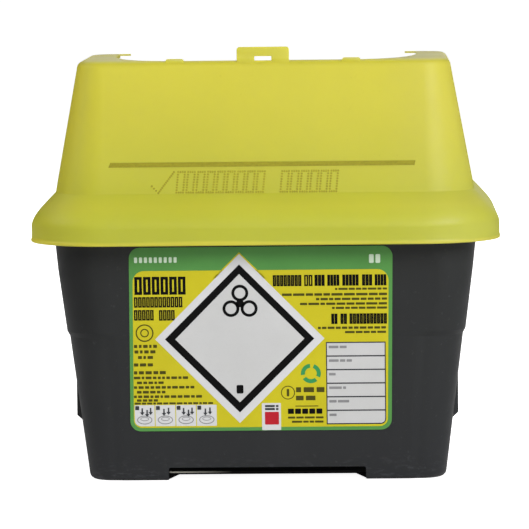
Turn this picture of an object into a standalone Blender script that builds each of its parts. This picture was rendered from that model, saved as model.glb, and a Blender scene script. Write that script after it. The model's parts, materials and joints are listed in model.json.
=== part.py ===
"""Sharps container, about two litres: a charcoal bin, a yellow hood that presses over its rim, a cover flap that is
pinned along the hood's back edge, the flap's spring catch, and the printed front label.

The design frame has its origin on the ground under the middle of the bin, +X to the right, +Y to the back, +Z up.
Everything hangs on one empty, which moves that frame so that the whole object, with its flap hanging open behind
it, stands centred on the world origin. Sizes below are in millimetres; meshes are written in metres.
"""

import math

import bmesh
import bpy
from mathutils import Matrix, Vector

MM = 0.001

# ---- driving dimensions (mm) -------------------------------------------------------------------------------------
DEPTH_LESS = 32.0  # half-depth = half-width - DEPTH_LESS, at every level of bin and hood
CORNER_STEPS = 7  # segments in each plan corner

# bin
BIN_DRAFT = 0.1215  # half-width lost per mm going down
BIN_HALF_AT_60 = 78.5
BIN_CORNER = 14.0
FOOT_CORNER = 10.5  # the corners tighten towards the ground
BIN_WALL = 1.8
BIN_FLOOR = 3.4
FOOT_EDGE = 2.3  # rounding under the bin
STEP_TOP, STEP_BOTTOM, STEP_IN = 59.2, 57.2, 0.75  # the nesting step, on corners and ends only
RIM_TOP = 107.0
BEAD_LOW, BEAD_OUT = 102.0, 2.0
RIM_CORNER = 22.0
NOTCH_HALF, NOTCH_TOP, NOTCH_DEEP = 38.8, 5.3, 3.4  # cut-outs in the front and back foot rims
BELLY, BELLY_HALF, FOOT_INNER = 2.1, 34.8, 39.4  # lift of the belly between the feet, and the slopes down to them
LUG_FACE, LUG_TOP, LUG_LOW, LUG_END, LUG_HALF = 75.45, 41.5, 24.9, 22.9, 27.0  # nesting lugs on the ends

# hood
SKIRT_LOW, SKIRT_HALF, SKIRT_LIP, SKIRT_CORNER = 94.5, 92.0, 0.25, 30.0
FLARE_LOW, FLARE_TOP = 100.8, 114.0
HOOD_HALF_AT_FLARE = 82.2
HOOD_DRAFT = 0.185
HOOD_CORNER = 15.0
HOOD_WALL = 1.6
DECK = 165.25
DECK_EDGE = 3.0
SEAT = RIM_TOP + 0.3  # the hood's ledge that rests on the bin's rim
MOUTH_HALF, MOUTH_FRONT = 60.5, -38.9
MOUTH_SWEEP_X, MOUTH_SWEEP_Y = 22.5, 55.0  # the mouth's front corners are quarter-ellipses this wide and this deep
BACK_SILL = 156.8  # top of the back wall between the shoulders
SILL_HALF = 64.0  # half-width of the opening in the back wall
CHEEK = 1.3
LIP_TIP = 56.0  # the thin lips at the back ends of the shoulders
TAB_HALF, TAB_TOP, TAB_THICK, TAB_ROUND = 10.2, 170.4, 1.5, 1.2
SLOT_HALF, SLOT_LOW, SLOT_TOP = 3.3, 165.1, 166.75
NUB_X, NUB_HALF, NUB_TOP = 34.4, 3.55, 166.0

# hinge of the cover flap
HINGE_Y, HINGE_Z = 43.4, 159.1
PIN_R, PIN_PLAY = 1.5, 0.25
BARREL_R, BARREL_HALF = 2.0, 47.6
EAR_IN, EAR_OUT, EAR_R = 48.1, 51.5, 2.9

# cover flap, drawn closed
FLAP_THICK = 1.6
FLAP_FRONT_Z = 167.15  # middle of the panel above the front wall
FLAP_GAP = 0.6  # the panel's edge inside the mouth's
LIP_NOTCH = 9.8  # the panel's back corners are cut away this far from the hinge, to swing past the hood's back lips
APRON_HALF, APRON_FRONT, APRON_DEEP, APRON_THICK = 43.0, -43.9, 5.0, 1.4
TAB_GAP_HALF = 11.3
RIB_IN, RIB_THICK, RIB_DEEP = 1.2, 1.2, 3.0
PAD_X, PAD_Y, PAD_LONG, PAD_WIDE, PAD_HIGH = 34.4, -31.0, 8.0, 4.2, 0.7

# catch
CATCH_ROOT_Y, CATCH_Z = -28.2, 165.95
CATCH_TIP_Y = -39.05
CATCH_HALF, CATCH_THICK, CATCH_GAP = 2.9, 1.1, 0.45
CATCH_BAR_R = 0.95

# front label
LABEL_X, LABEL_HALF, LABEL_LOW, LABEL_TOP = -1.85, 51.25, 20.1, 93.2
LABEL_THICK, LABEL_GAP, LABEL_CORNER = 0.3, 0.3, 4.2
LABEL_LEAN = 0.0195  # the label is stuck on a little askew: sideways shift for each mm of height

FLAP_SLOPE = math.atan2(FLAP_FRONT_Z - HINGE_Z, HINGE_Y - MOUTH_FRONT)
FLARE_CLEAR = 0.6


def hood_half(z):
    """Half-width of the hood's outside on its straight walls."""
    return HOOD_HALF_AT_FLARE - HOOD_DRAFT * (z - FLARE_TOP)


def flare_half(z):
    """Half-width of the flare: a quarter-ellipse shoulder above the skirt that runs out into a straight slope."""
    t = (z - FLARE_LOW) / (FLARE_TOP - FLARE_LOW)
    return SKIRT_HALF - (SKIRT_HALF - HOOD_HALF_AT_FLARE) * (1.25 * t**1.72 - 0.25 * t**3.4)


def open_angle():
    """Turn of the flap from closed to hanging open, where its face stands just off the back of the flare."""
    lean = 0.0
    for i in range(60):
        z = FLARE_LOW - 6.0 + (FLARE_TOP - FLARE_LOW + 6.0) * i / 59.0
        half = flare_half(z) if z > FLARE_LOW else SKIRT_HALF
        dy, dz = half - DEPTH_LESS - HINGE_Y, HINGE_Z - z
        off = math.asin((FLAP_THICK / 2.0 + FLARE_CLEAR) / math.hypot(dy, dz))
        lean = max(lean, math.atan2(dy, dz) + off)
    return math.pi - FLAP_SLOPE + math.pi / 2.0 - lean


OPEN = open_angle()


def mouth_edge(inset, steps, end=90.0):
    """The right front corner of the mouth's outline, moved in by inset: from the straight side round to the front."""
    cx, cy = MOUTH_HALF - MOUTH_SWEEP_X, MOUTH_FRONT + MOUTH_SWEEP_Y
    a, b = MOUTH_SWEEP_X - inset, MOUTH_SWEEP_Y - inset
    turns = [math.radians(end * i / steps) for i in range(steps + 1)]
    return [(cx + a * math.cos(t), cy - b * math.sin(t)) for t in turns]


def hung(y, z):
    """Where a point of the closed flap lies when the flap hangs open."""
    c, s = math.cos(-OPEN), math.sin(-OPEN)
    dy, dz = y - HINGE_Y, z - HINGE_Z
    return HINGE_Y + c * dy - s * dz, HINGE_Z + s * dy + c * dz


APRON_TOP_Z = FLAP_FRONT_Z + FLAP_THICK / 2.0 + 0.2
APRON_LOW_Z = APRON_TOP_Z - FLAP_THICK - APRON_DEEP
BACK_REACH = max(hung(APRON_FRONT, APRON_LOW_Z)[0], hung(APRON_FRONT + APRON_THICK, APRON_LOW_Z)[0])
FRONT_REACH = SKIRT_HALF + SKIRT_LIP - DEPTH_LESS
Y_SHIFT = (FRONT_REACH - BACK_REACH) / 2.0

for old in list(bpy.data.objects):
    bpy.data.objects.remove(old, do_unlink=True)


# ---- helpers -----------------------------------------------------------------------------------------------------
def empty(name, at=(0, 0, 0), parent=None, turn=0.0):
    e = bpy.data.objects.new(name, None)
    e.empty_display_size = 0.01
    e.location = Vector(at) * MM
    e.rotation_euler = (turn, 0, 0)
    e.parent = parent
    bpy.context.collection.objects.link(e)
    return e


def material(name, colour, roughness, metallic=0.0):
    m = bpy.data.materials.new(name)
    m.use_nodes = True
    p = m.node_tree.nodes["Principled BSDF"]
    p.inputs["Base Color"].default_value = (*colour, 1.0)
    p.inputs["Roughness"].default_value = roughness
    p.inputs["Metallic"].default_value = metallic
    return m


def to_object(bm, name, parent, mat=None, at=(0, 0, 0)):
    """Turns a bmesh in millimetres, drawn around the point at, into an object placed there."""
    bmesh.ops.scale(bm, vec=(MM, MM, MM), verts=bm.verts)
    bmesh.ops.recalc_face_normals(bm, faces=bm.faces)
    mesh = bpy.data.meshes.new(name)
    bm.to_mesh(mesh)
    bm.free()
    mesh.shade_smooth()
    mesh.set_sharp_from_angle(angle=math.radians(32))
    ob = bpy.data.objects.new(name, mesh)
    ob.location = Vector(at) * MM
    ob.parent = parent
    if mat is not None:
        mesh.materials.append(mat)
    bpy.context.collection.objects.link(ob)
    return ob


def loft(rings):
    """A closed body through rings of equal counts, capped flat at both ends."""
    bm = bmesh.new()
    rows = [[bm.verts.new(p) for p in ring] for ring in rings]
    n = len(rows[0])
    for a, b in zip(rows, rows[1:]):
        for i in range(n):
            j = (i + 1) % n
            bm.faces.new((a[i], a[j], b[j], b[i]))
    bm.faces.new(rows[0])
    bm.faces.new(rows[-1])
    return bm


def prism(outline, low, high, axis="Z"):
    """An outline drawn in the two other axes, pushed along axis from low to high."""
    place = {
        "X": lambda a, b, t: (t, a, b),
        "Y": lambda a, b, t: (a, t, b),
        "Z": lambda a, b, t: (a, b, t),
    }[axis]
    return loft([[place(a, b, low) for a, b in outline], [place(a, b, high) for a, b in outline]])


def box(x0, x1, y0, y1, z0, z1):
    return prism([(x0, y0), (x1, y0), (x1, y1), (x0, y1)], z0, z1)


def arc(cx, cy, r, a0, a1, steps):
    return [
        (cx + r * math.cos(math.radians(a0 + (a1 - a0) * i / steps)), cy + r * math.sin(math.radians(a0 + (a1 - a0) * i / steps)))
        for i in range(steps + 1)
    ]


def ring(half, corner, z, less=DEPTH_LESS, panel=None):
    """A rounded rectangle at height z, anticlockwise from the right end of the front side. panel pushes the flat
    stretches of the front and back sides outwards by that much."""
    hx, hy = half, half - less
    pts = []
    for cx, cy, a in ((1, -1, -90), (1, 1, 0), (-1, 1, 90), (-1, -1, 180)):
        turn = arc(cx * (hx - corner), cy * (hy - corner), corner, a, a + 90, CORNER_STEPS)
        edge = hx - corner - 0.3
        if panel is not None and a in (-90, 90):
            side = -1.0 if a == -90 else 1.0
            if a == -90:
                pts.append((edge - 0.9, side * (hy + panel)))
                pts.append((edge, side * hy))
                pts += turn
            else:
                pts += turn
        elif panel is not None and a == 0:
            pts += turn
            pts.append((edge, hy))
            pts.append((edge - 0.9, hy + panel))
        else:
            pts += turn
        if panel is not None and a == 180:
            pts.append((-edge, -hy))
            pts.append((-edge + 0.9, -(hy + panel)))
        if panel is not None and a == 0:
            pts.append((-edge + 0.9, hy + panel))
            pts.append((-edge, hy))
    return [(x, y, z) for x, y in pts]


def join(target, tool, how):
    """Adds a Boolean of tool on target. The tool stays in the file as a guide."""
    tool.hide_render = True
    tool.display_type = "WIRE"
    m = target.modifiers.new(how.lower() + "_" + tool.name, "BOOLEAN")
    m.operation = how
    m.solver = "EXACT"
    m.object = tool
    return m


charcoal = material("charcoal_polypropylene", (0.037, 0.038, 0.040), 0.55)
yellow = material("yellow_polypropylene", (0.62, 0.60, 0.09), 0.42)
print_face = material("printed_label", (0.62, 0.57, 0.05), 0.45)

root = empty("container_origin", (0, Y_SHIFT, 0))

# ---- bin ---------------------------------------------------------------------------------------------------------


def bin_half(z):
    half = BIN_HALF_AT_60 + BIN_DRAFT * (z - 60.0)
    if z <= STEP_BOTTOM:
        return half - STEP_IN
    if z < STEP_TOP:
        return half - STEP_IN * (STEP_TOP - z) / (STEP_TOP - STEP_BOTTOM)
    return half


def bin_panel(z):
    """How far the flat front and back panels stand out from the stepped wall."""
    return BIN_HALF_AT_60 + BIN_DRAFT * (z - 60.0) - bin_half(z)


outer = []
for a in (0.0, 30.0, 60.0, 90.0):
    z = FOOT_EDGE * (1 - math.sin(math.radians(a)))
    outer.append((z, bin_half(FOOT_EDGE) - FOOT_EDGE * (1 - math.cos(math.radians(a)))))
outer = outer[::-1]
levels = [20.0, 40.0, STEP_BOTTOM, STEP_TOP, 84.0, BEAD_LOW]
outer += [(z, bin_half(z)) for z in levels]
outer += [
    (BEAD_LOW + 0.9, bin_half(BEAD_LOW) + BEAD_OUT),
    (RIM_TOP - 1.4, bin_half(BEAD_LOW) + BEAD_OUT + 0.4),
    (RIM_TOP, bin_half(BEAD_LOW) + BEAD_OUT - 0.9),
]
inner = [(RIM_TOP, bin_half(RIM_TOP) - BIN_WALL - 0.4), (RIM_TOP - 1.0, bin_half(RIM_TOP) - BIN_WALL)]
inner += [(z, bin_half(z) - BIN_WALL) for z in (BEAD_LOW, 84.0, STEP_TOP + 0.6, STEP_BOTTOM + 0.3)]
inner += [(9.0, bin_half(9.0) - BIN_WALL), (5.2, bin_half(9.0) - BIN_WALL - 1.6), (BIN_FLOOR, bin_half(9.0) - BIN_WALL - 4.6)]


def bin_corner(z, h):
    """Plan corner radius of the bin: it grows a little up to the step, is even up to the label's top, then widens
    towards the rim, which the hood's round skirt passes over."""
    if z <= FOOT_EDGE:
        return max(7.0, FOOT_CORNER - (bin_half(FOOT_EDGE) - h))
    if z < STEP_BOTTOM:
        return FOOT_CORNER + (BIN_CORNER - FOOT_CORNER) * (z - FOOT_EDGE) / (STEP_BOTTOM - FOOT_EDGE)
    return BIN_CORNER + (RIM_CORNER - BIN_CORNER) * max(0.0, min(1.0, (z - 84.0) / (BEAD_LOW - 84.0)))


rings = [ring(h, bin_corner(z, h), z, panel=max(0.0, bin_panel(max(z, FOOT_EDGE))) + 0.01) for z, h in outer]
rings += [ring(h, bin_corner(z, h) - BIN_WALL - (1.5 if 3.3 < z < 6 else 0.0), z, panel=max(0.0, bin_panel(max(z, FOOT_EDGE))) + 0.01) for z, h in inner]
base = to_object(loft(rings), "base_bin", root, charcoal)

# the foot rims' cut-outs at the front and back, and the lift of the belly between the feet
front_y = bin_half(FOOT_EDGE) - DEPTH_LESS
for side, name in ((-1, "front"), (1, "back")):
    out = [(-NOTCH_HALF, -3.0), (NOTCH_HALF, -3.0), (NOTCH_HALF, NOTCH_TOP - 0.6), (NOTCH_HALF - 0.6, NOTCH_TOP), (-NOTCH_HALF + 0.6, NOTCH_TOP), (-NOTCH_HALF, NOTCH_TOP - 0.6)]
    y_in = side * 30.0
    y0, y1 = sorted((y_in, side * (front_y - 4.2)))
    to_object(box(-NOTCH_HALF - 1.9, NOTCH_HALF + 1.9, y0, y1, BIN_FLOOR - 1.0, NOTCH_TOP + BIN_WALL), name + "_notch_backing", root)
    y0, y1 = sorted((side * (front_y - NOTCH_DEEP + 0.75), side * (front_y + 12)))
    to_object(prism(out, y0, y1, "Y"), name + "_notch_cut", root)
reach = (FOOT_INNER - BELLY_HALF) / BELLY
belly = [(-FOOT_INNER - reach, -1.0), (FOOT_INNER + reach, -1.0), (BELLY_HALF, BELLY), (-BELLY_HALF, BELLY)]
belly_cut = to_object(prism(belly, -60.0, 60.0, "Y"), "belly_cut", root)
for name in ("front", "back"):
    join(base, bpy.data.objects[name + "_notch_backing"], "UNION")
for name in ("front", "back"):
    join(base, bpy.data.objects[name + "_notch_cut"], "DIFFERENCE")
join(base, belly_cut, "DIFFERENCE")

# nesting lugs on the two ends
for side, name in ((-1, "left"), (1, "right")):
    prof = [(side * (bin_half(LUG_END) - 0.9), LUG_END - 0.8), (side * (bin_half(LUG_END)), LUG_END), (side * LUG_FACE, LUG_LOW), (side * LUG_FACE, LUG_TOP - 1.2), (side * (bin_half(LUG_TOP) - 0.9), LUG_TOP)]
    if side > 0:
        prof = prof[::-1]
    lug = to_object(prism(prof, -LUG_HALF, LUG_HALF, "Y"), name + "_nesting_lug", root)
    join(base, lug, "UNION")

# ---- front label -------------------------------------------------------------------------------------------------
# a thin sheet, lying along the drafted front panel


def panel_y(z):
    return -(BIN_HALF_AT_60 + BIN_DRAFT * (z - 60.0) - DEPTH_LESS)


outline = []
for cx, cz, a in ((1, -1, -90), (1, 1, 0), (-1, 1, 90), (-1, -1, 180)):
    mx, mz = LABEL_HALF - LABEL_CORNER, (LABEL_TOP - LABEL_LOW) / 2.0 - LABEL_CORNER
    outline += arc(cx * mx, (LABEL_TOP + LABEL_LOW) / 2.0 + cz * mz, LABEL_CORNER, a, a + 90, 5)
near = [(LABEL_X + x + LABEL_LEAN * (z - 57.0), panel_y(z) - LABEL_GAP - LABEL_THICK, z) for x, z in outline]
far = [(LABEL_X + x + LABEL_LEAN * (z - 57.0), panel_y(z) - LABEL_GAP, z) for x, z in outline]
label = to_object(loft([near, far]), "front_label", root, print_face)

# ---- hood --------------------------------------------------------------------------------------------------------
outer = [
    (SKIRT_LOW, SKIRT_HALF + SKIRT_LIP - 0.5, SKIRT_CORNER),
    (SKIRT_LOW + 0.5, SKIRT_HALF + SKIRT_LIP, SKIRT_CORNER),
    (SKIRT_LOW + 1.5, SKIRT_HALF, SKIRT_CORNER),
]
for i in range(9):
    t = i / 8.0
    z = FLARE_LOW + (FLARE_TOP - FLARE_LOW) * t
    outer.append((z, flare_half(z), SKIRT_CORNER - (SKIRT_CORNER - HOOD_CORNER) * t**1.2))
outer += [(z, hood_half(z), HOOD_CORNER - (z - FLARE_TOP) * 0.02) for z in (140.0, DECK - DECK_EDGE)]
for a in (30.0, 60.0, 90.0):
    z = DECK - DECK_EDGE * (1 - math.sin(math.radians(a)))
    inset = DECK_EDGE * (1 - math.cos(math.radians(a)))
    outer.append((z, hood_half(DECK - DECK_EDGE) - inset, HOOD_CORNER - 1.0 - inset))
seat_half = flare_half(SEAT)
inner = [
    (DECK - HOOD_WALL, hood_half(DECK) - HOOD_WALL - 1.6, HOOD_CORNER - 4.0),
    (DECK - HOOD_WALL - 1.6, hood_half(DECK - 3.2) - HOOD_WALL, HOOD_CORNER - 2.6),
    (FLARE_TOP - 0.5, hood_half(FLARE_TOP) - HOOD_WALL, HOOD_CORNER - 1.6),
    (SEAT + 2.2, hood_half(FLARE_TOP) - HOOD_WALL + 0.9, HOOD_CORNER - 1.4),
    (SEAT, hood_half(FLARE_TOP) - HOOD_WALL + 1.3, HOOD_CORNER - 1.4),
    (SEAT, seat_half - HOOD_WALL - 0.5, SKIRT_CORNER - 9.0),
    (SEAT - 2.6, flare_half(SEAT - 2.6) - HOOD_WALL - 0.2, SKIRT_CORNER - 5.0),
    (FLARE_LOW, SKIRT_HALF - HOOD_WALL - 0.1, SKIRT_CORNER - 1.7),
    (SKIRT_LOW, SKIRT_HALF - HOOD_WALL + 0.1, SKIRT_CORNER - 1.6),
]
bm = bmesh.new()
rows = [[bm.verts.new(p) for p in ring(h, r, z)] for z, h, r in outer + inner]
n = len(rows[0])
top = len(outer)
for k, (a, b) in enumerate(zip(rows, rows[1:] + rows[:1])):
    if k == top - 1:
        continue  # the deck and its underside are closed separately
    for i in range(n):
        j = (i + 1) % n
        bm.faces.new((a[i], a[j], b[j], b[i]))
bm.faces.new(rows[top - 1])
bm.faces.new(rows[top])
hood = to_object(bm, "lid_hood", root, yellow)

# cheeks: the rims that hang down from the deck along both sides of the mouth
wall_in = hood_half(BACK_SILL) - DEPTH_LESS - HOOD_WALL + 0.6
for side, name in ((-1, "left"), (1, "right")):
    x0, x1 = sorted((side * SILL_HALF, side * (SILL_HALF + CHEEK)))
    cheek = [(-12.0, DECK - 0.8), (-12.0, DECK - 3.6), (wall_in, BACK_SILL - 2.2), (wall_in - 1.6, DECK - 0.8)]
    join(hood, to_object(prism(cheek, x0, x1, "X"), name + "_cheek", root), "UNION")

# mouth: open on top between the shoulders, and through the back wall down to the sill
mouth = mouth_edge(0.0, 10)
mouth += [(-x, y) for x, y in reversed(mouth)]
mouth += [(-MOUTH_HALF, 70.0), (MOUTH_HALF, 70.0)]
join(hood, to_object(prism(mouth, BACK_SILL, DECK + 12.0), "mouth_cut", root), "DIFFERENCE")
join(hood, to_object(box(-SILL_HALF, SILL_HALF, 36.0, 60.0, BACK_SILL, DECK - HOOD_WALL - 0.1), "sill_cut", root), "DIFFERENCE")

# thin lips at the back ends of the shoulders
back_y = hood_half(DECK) - DEPTH_LESS
for side, name in ((-1, "left"), (1, "right")):
    x0, x1 = sorted((side * LIP_TIP, side * (SILL_HALF + 0.6)))
    join(hood, to_object(box(x0, x1, back_y - 4.2, back_y - 2.4, DECK - 0.75, DECK - 0.02), name + "_back_lip", root), "UNION")

# tab with the catch's slot, and the two closing nubs, on the front wall's top edge
tab_y = -(hood_half(DECK) - DEPTH_LESS) + 0.15
tab = [(-TAB_HALF, DECK - 4.0), (TAB_HALF, DECK - 4.0)]
tab += arc(TAB_HALF - TAB_ROUND, TAB_TOP - TAB_ROUND, TAB_ROUND, 0, 90, 4)
tab += arc(-(TAB_HALF - TAB_ROUND), TAB_TOP - TAB_ROUND, TAB_ROUND, 90, 180, 4)
join(hood, to_object(prism(tab, tab_y, tab_y + TAB_THICK, "Y"), "front_tab", root), "UNION")
join(hood, to_object(box(-SLOT_HALF, SLOT_HALF, -60.0, -34.0, SLOT_LOW, SLOT_TOP), "tab_slot_cut", root), "DIFFERENCE")
for side, name in ((-1, "left"), (1, "right")):
    nub = [(side * NUB_X - NUB_HALF, DECK - 3.0), (side * NUB_X + NUB_HALF, DECK - 3.0)]
    nub += [(side * NUB_X + NUB_HALF, NUB_TOP - 0.6), (side * NUB_X + NUB_HALF - 0.9, NUB_TOP), (side * NUB_X - NUB_HALF + 0.9, NUB_TOP), (side * NUB_X - NUB_HALF, NUB_TOP - 0.6)]
    join(hood, to_object(prism(nub, tab_y + 0.1, tab_y + 1.45, "Y"), name + "_closing_nub", root), "UNION")

# hinge ears on the back sill, and the pin holes through them
ear = arc(HINGE_Y, HINGE_Z, EAR_R, -55, 215, 14)
ear += [(hood_half(BACK_SILL) - DEPTH_LESS - HOOD_WALL + 0.1, BACK_SILL - 1.2), (hood_half(BACK_SILL) - DEPTH_LESS - 0.1, BACK_SILL - 2.4)]
hole = arc(HINGE_Y, HINGE_Z, PIN_R + PIN_PLAY, 0, 345, 23)
for side, name in ((-1, "left"), (1, "right")):
    x0, x1 = sorted((side * EAR_IN, side * EAR_OUT))
    join(hood, to_object(prism(ear, x0, x1, "X"), name + "_hinge_ear", root), "UNION")
for side, name in ((-1, "left"), (1, "right")):
    x0, x1 = sorted((side * (EAR_IN - 4.0), side * (EAR_OUT + 4.0)))
    join(hood, to_object(prism(hole, x0, x1, "X"), name + "_pin_hole_cut", root), "DIFFERENCE")

# lock lugs inside the skirt, near the four corners, just under the bin's bead
lug_out = SKIRT_HALF - DEPTH_LESS - HOOD_WALL + 0.5
lug_tip = bin_half(BEAD_LOW) + BEAD_OUT + 0.4 - DEPTH_LESS + 0.4
for sx, sy, name in ((-1, -1, "front_left"), (1, -1, "front_right"), (-1, 1, "back_left"), (1, 1, "back_right")):
    prof = [(sy * lug_out, 101.6), (sy * lug_tip, 101.2), (sy * lug_tip, 100.2), (sy * lug_out, 96.6)]
    if sy * 1 > 0:
        prof = prof[::-1]
    x0, x1 = sorted((sx * 42.0, sx * 56.0))
    join(hood, to_object(prism(prof, x0, x1, "X"), name + "_lock_lug", root), "UNION")

# ---- cover flap, drawn closed around its hinge axis, then turned to hang open ---------------------------------------
flap_axis = empty("flap_hinge_axis", (0, HINGE_Y, HINGE_Z), root, -OPEN)


def mid_z(y):
    """Height of the panel's middle over y, with the flap closed."""
    return HINGE_Z + math.tan(FLAP_SLOPE) * (HINGE_Y - y)


def slab(outline, low_off, high_off):
    """A plate that follows the closed panel, between two heights off its middle, drawn around the hinge axis."""
    low = [(x, y - HINGE_Y, mid_z(y) + low_off - HINGE_Z) for x, y in outline]
    high = [(x, y - HINGE_Y, mid_z(y) + high_off - HINGE_Z) for x, y in outline]
    return loft([low, high])


def about_hinge(outline, x0, x1):
    """An outline in Y and Z, pushed along X, drawn around the hinge axis."""
    return prism([(y - HINGE_Y, z - HINGE_Z) for y, z in outline], x0, x1, "X")


half_t = FLAP_THICK / 2.0
clear = EAR_R + 1.2
inner_y = HINGE_Y - clear
lip_y = HINGE_Y - LIP_NOTCH
flap_half, flap_front = MOUTH_HALF - FLAP_GAP, MOUTH_FRONT + FLAP_GAP
apron_end = math.degrees(math.acos((APRON_HALF - MOUTH_HALF + MOUTH_SWEEP_X) / (MOUTH_SWEEP_X - FLAP_GAP)))
plan = [(BARREL_HALF, HINGE_Y), (BARREL_HALF, inner_y), (LIP_TIP - 0.8, inner_y), (LIP_TIP - 0.8, lip_y), (flap_half - 1.0, lip_y), (flap_half, lip_y - 1.0)]
plan += mouth_edge(FLAP_GAP, 9, apron_end)
plan += [(APRON_HALF, APRON_FRONT), (TAB_GAP_HALF, APRON_FRONT), (TAB_GAP_HALF, flap_front)]
notch = CATCH_HALF + CATCH_GAP
plan += [(notch, flap_front), (notch, CATCH_ROOT_Y + CATCH_BAR_R + CATCH_GAP)]
plan += [(-x, y) for x, y in reversed(plan)]
flap = to_object(slab(plan, -half_t, half_t), "cover_flap", flap_axis, yellow)
barrel = about_hinge(arc(HINGE_Y, HINGE_Z, BARREL_R, 0, 345, 23), -BARREL_HALF, BARREL_HALF)
join(flap, to_object(barrel, "hinge_barrel", flap_axis), "UNION")
pins = loft([[(x, r * math.cos(math.radians(15 * i)), r * math.sin(math.radians(15 * i))) for i in range(24)] for x, r in ((-EAR_OUT - 0.4, PIN_R - 0.5), (-EAR_OUT + 0.4, PIN_R), (EAR_OUT - 0.4, PIN_R), (EAR_OUT + 0.4, PIN_R - 0.5))])
join(flap, to_object(pins, "hinge_pins", flap_axis), "UNION")
for side, name in ((-1, "left"), (1, "right")):
    x0, x1 = sorted((side * TAB_GAP_HALF, side * APRON_HALF))
    prof = [(APRON_FRONT, APRON_TOP_Z), (APRON_FRONT, APRON_LOW_Z), (APRON_FRONT + APRON_THICK, APRON_LOW_Z), (APRON_FRONT + APRON_THICK, APRON_TOP_Z - 0.6)]
    join(flap, to_object(about_hinge(prof, x0, x1), name + "_front_apron", flap_axis), "UNION")
# rib under the panel, just inside its edge, which plugs the mouth
x_rib = flap_half - RIB_IN
y_rib = flap_front + RIB_IN
rib_out = [(x_rib, lip_y - 1.6)] + mouth_edge(FLAP_GAP + RIB_IN, 9)
rib_in = [(x_rib - RIB_THICK, lip_y - 1.6)] + mouth_edge(FLAP_GAP + RIB_IN + RIB_THICK, 9)
for side, name in ((1, "right"), (-1, "left")):
    path = rib_out + [(notch + 1.0, y_rib), (notch + 1.0, y_rib + RIB_THICK)] + rib_in[::-1]
    path = [(side * x, y) for x, y in path]
    join(flap, to_object(slab(path, -half_t - RIB_DEEP, -half_t + 0.4), name + "_plug_rib", flap_axis), "UNION")
# raised pads that are pressed for the final closure
for side, name in ((1, "right"), (-1, "left")):
    oval = [(side * PAD_X + PAD_LONG * math.cos(math.radians(20 * i)), PAD_Y + PAD_WIDE * math.sin(math.radians(20 * i))) for i in range(18)]
    join(flap, to_object(slab(oval, 0.2, half_t + PAD_HIGH), name + "_press_pad", flap_axis), "UNION")

# ---- catch: a tongue at the middle of the flap's front edge ---------------------------------------------------------
catch_axis = empty("catch_axis", (0, CATCH_ROOT_Y - HINGE_Y, CATCH_Z - HINGE_Z), flap_axis)
h = CATCH_THICK / 2.0
bar = arc(0.0, 0.0, CATCH_BAR_R, 145, -145, 12)
tip = CATCH_TIP_Y - CATCH_ROOT_Y
tongue = [(y, z) for y, z in bar]
tongue += [(tip + 1.0, -h), (tip, -h + 0.35), (tip, h - 0.35), (tip + 1.0, h)]
catch = to_object(prism(tongue, -CATCH_HALF, CATCH_HALF, "X"), "catch_tongue", catch_axis, yellow)
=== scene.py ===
"""Sharps container, about two litres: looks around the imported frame.

Lengths in this file are millimetres in the design frame (origin on the ground under the middle of the bin, +X right,
+Y back, +Z up) until `place` writes them as metres in the frame's own coordinates.
"""

import json
import math
import random

import bmesh
import bpy
import numpy as np
from mathutils import Matrix, Vector

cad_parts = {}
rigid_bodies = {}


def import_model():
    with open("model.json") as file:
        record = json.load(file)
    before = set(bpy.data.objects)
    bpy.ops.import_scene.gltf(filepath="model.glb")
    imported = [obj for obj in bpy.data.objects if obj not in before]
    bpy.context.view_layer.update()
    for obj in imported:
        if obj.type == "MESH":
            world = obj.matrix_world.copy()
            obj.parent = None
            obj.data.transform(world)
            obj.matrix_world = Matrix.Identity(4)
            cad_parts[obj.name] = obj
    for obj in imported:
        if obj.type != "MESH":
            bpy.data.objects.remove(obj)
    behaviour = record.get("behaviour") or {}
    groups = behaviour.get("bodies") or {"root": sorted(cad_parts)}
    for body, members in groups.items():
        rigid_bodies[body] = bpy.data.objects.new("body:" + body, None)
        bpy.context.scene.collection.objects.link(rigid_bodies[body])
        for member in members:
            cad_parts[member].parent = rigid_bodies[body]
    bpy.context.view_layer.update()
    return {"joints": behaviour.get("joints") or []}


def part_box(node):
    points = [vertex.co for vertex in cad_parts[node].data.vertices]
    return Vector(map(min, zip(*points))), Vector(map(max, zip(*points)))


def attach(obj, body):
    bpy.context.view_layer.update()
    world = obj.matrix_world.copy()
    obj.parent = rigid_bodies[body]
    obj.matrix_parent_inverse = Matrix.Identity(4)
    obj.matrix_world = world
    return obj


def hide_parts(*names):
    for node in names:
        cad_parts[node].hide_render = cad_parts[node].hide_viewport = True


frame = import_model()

MM = 0.001
bin_lo, bin_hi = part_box("base_bin")
Y0 = (bin_lo.y + bin_hi.y) / 2.0  # metres: where the design frame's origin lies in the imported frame
joints = {j["name"]: j for j in frame["joints"]}

# ---- the CAD's driving sizes (mm) --------------------------------------------------------------------------------
DEPTH_LESS = 32.0
BIN_DRAFT, BIN_HALF_AT_60, BIN_CORNER, BIN_WALL, BIN_FLOOR = 0.1215, 78.5, 14.0, 1.8, 3.4
FOOT_CORNER, FOOT_EDGE = 10.5, 2.3
STEP_TOP, STEP_BOTTOM, STEP_IN = 59.2, 57.2, 0.75
RIM_TOP, BEAD_LOW, BEAD_OUT, RIM_CORNER = 107.0, 102.0, 2.0, 22.0
NOTCH_HALF, NOTCH_TOP, NOTCH_DEEP = 38.8, 5.3, 3.4
BELLY, BELLY_HALF, FOOT_INNER = 2.1, 34.8, 39.4
LUG_FACE, LUG_TOP, LUG_LOW, LUG_END, LUG_HALF = 75.45, 41.5, 24.9, 22.9, 27.0
SKIRT_LOW, SKIRT_HALF, SKIRT_LIP, SKIRT_CORNER = 94.5, 92.0, 0.25, 30.0
FLARE_LOW, FLARE_TOP, HOOD_HALF_AT_FLARE, HOOD_DRAFT, HOOD_CORNER = 100.8, 114.0, 82.2, 0.185, 15.0
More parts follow.
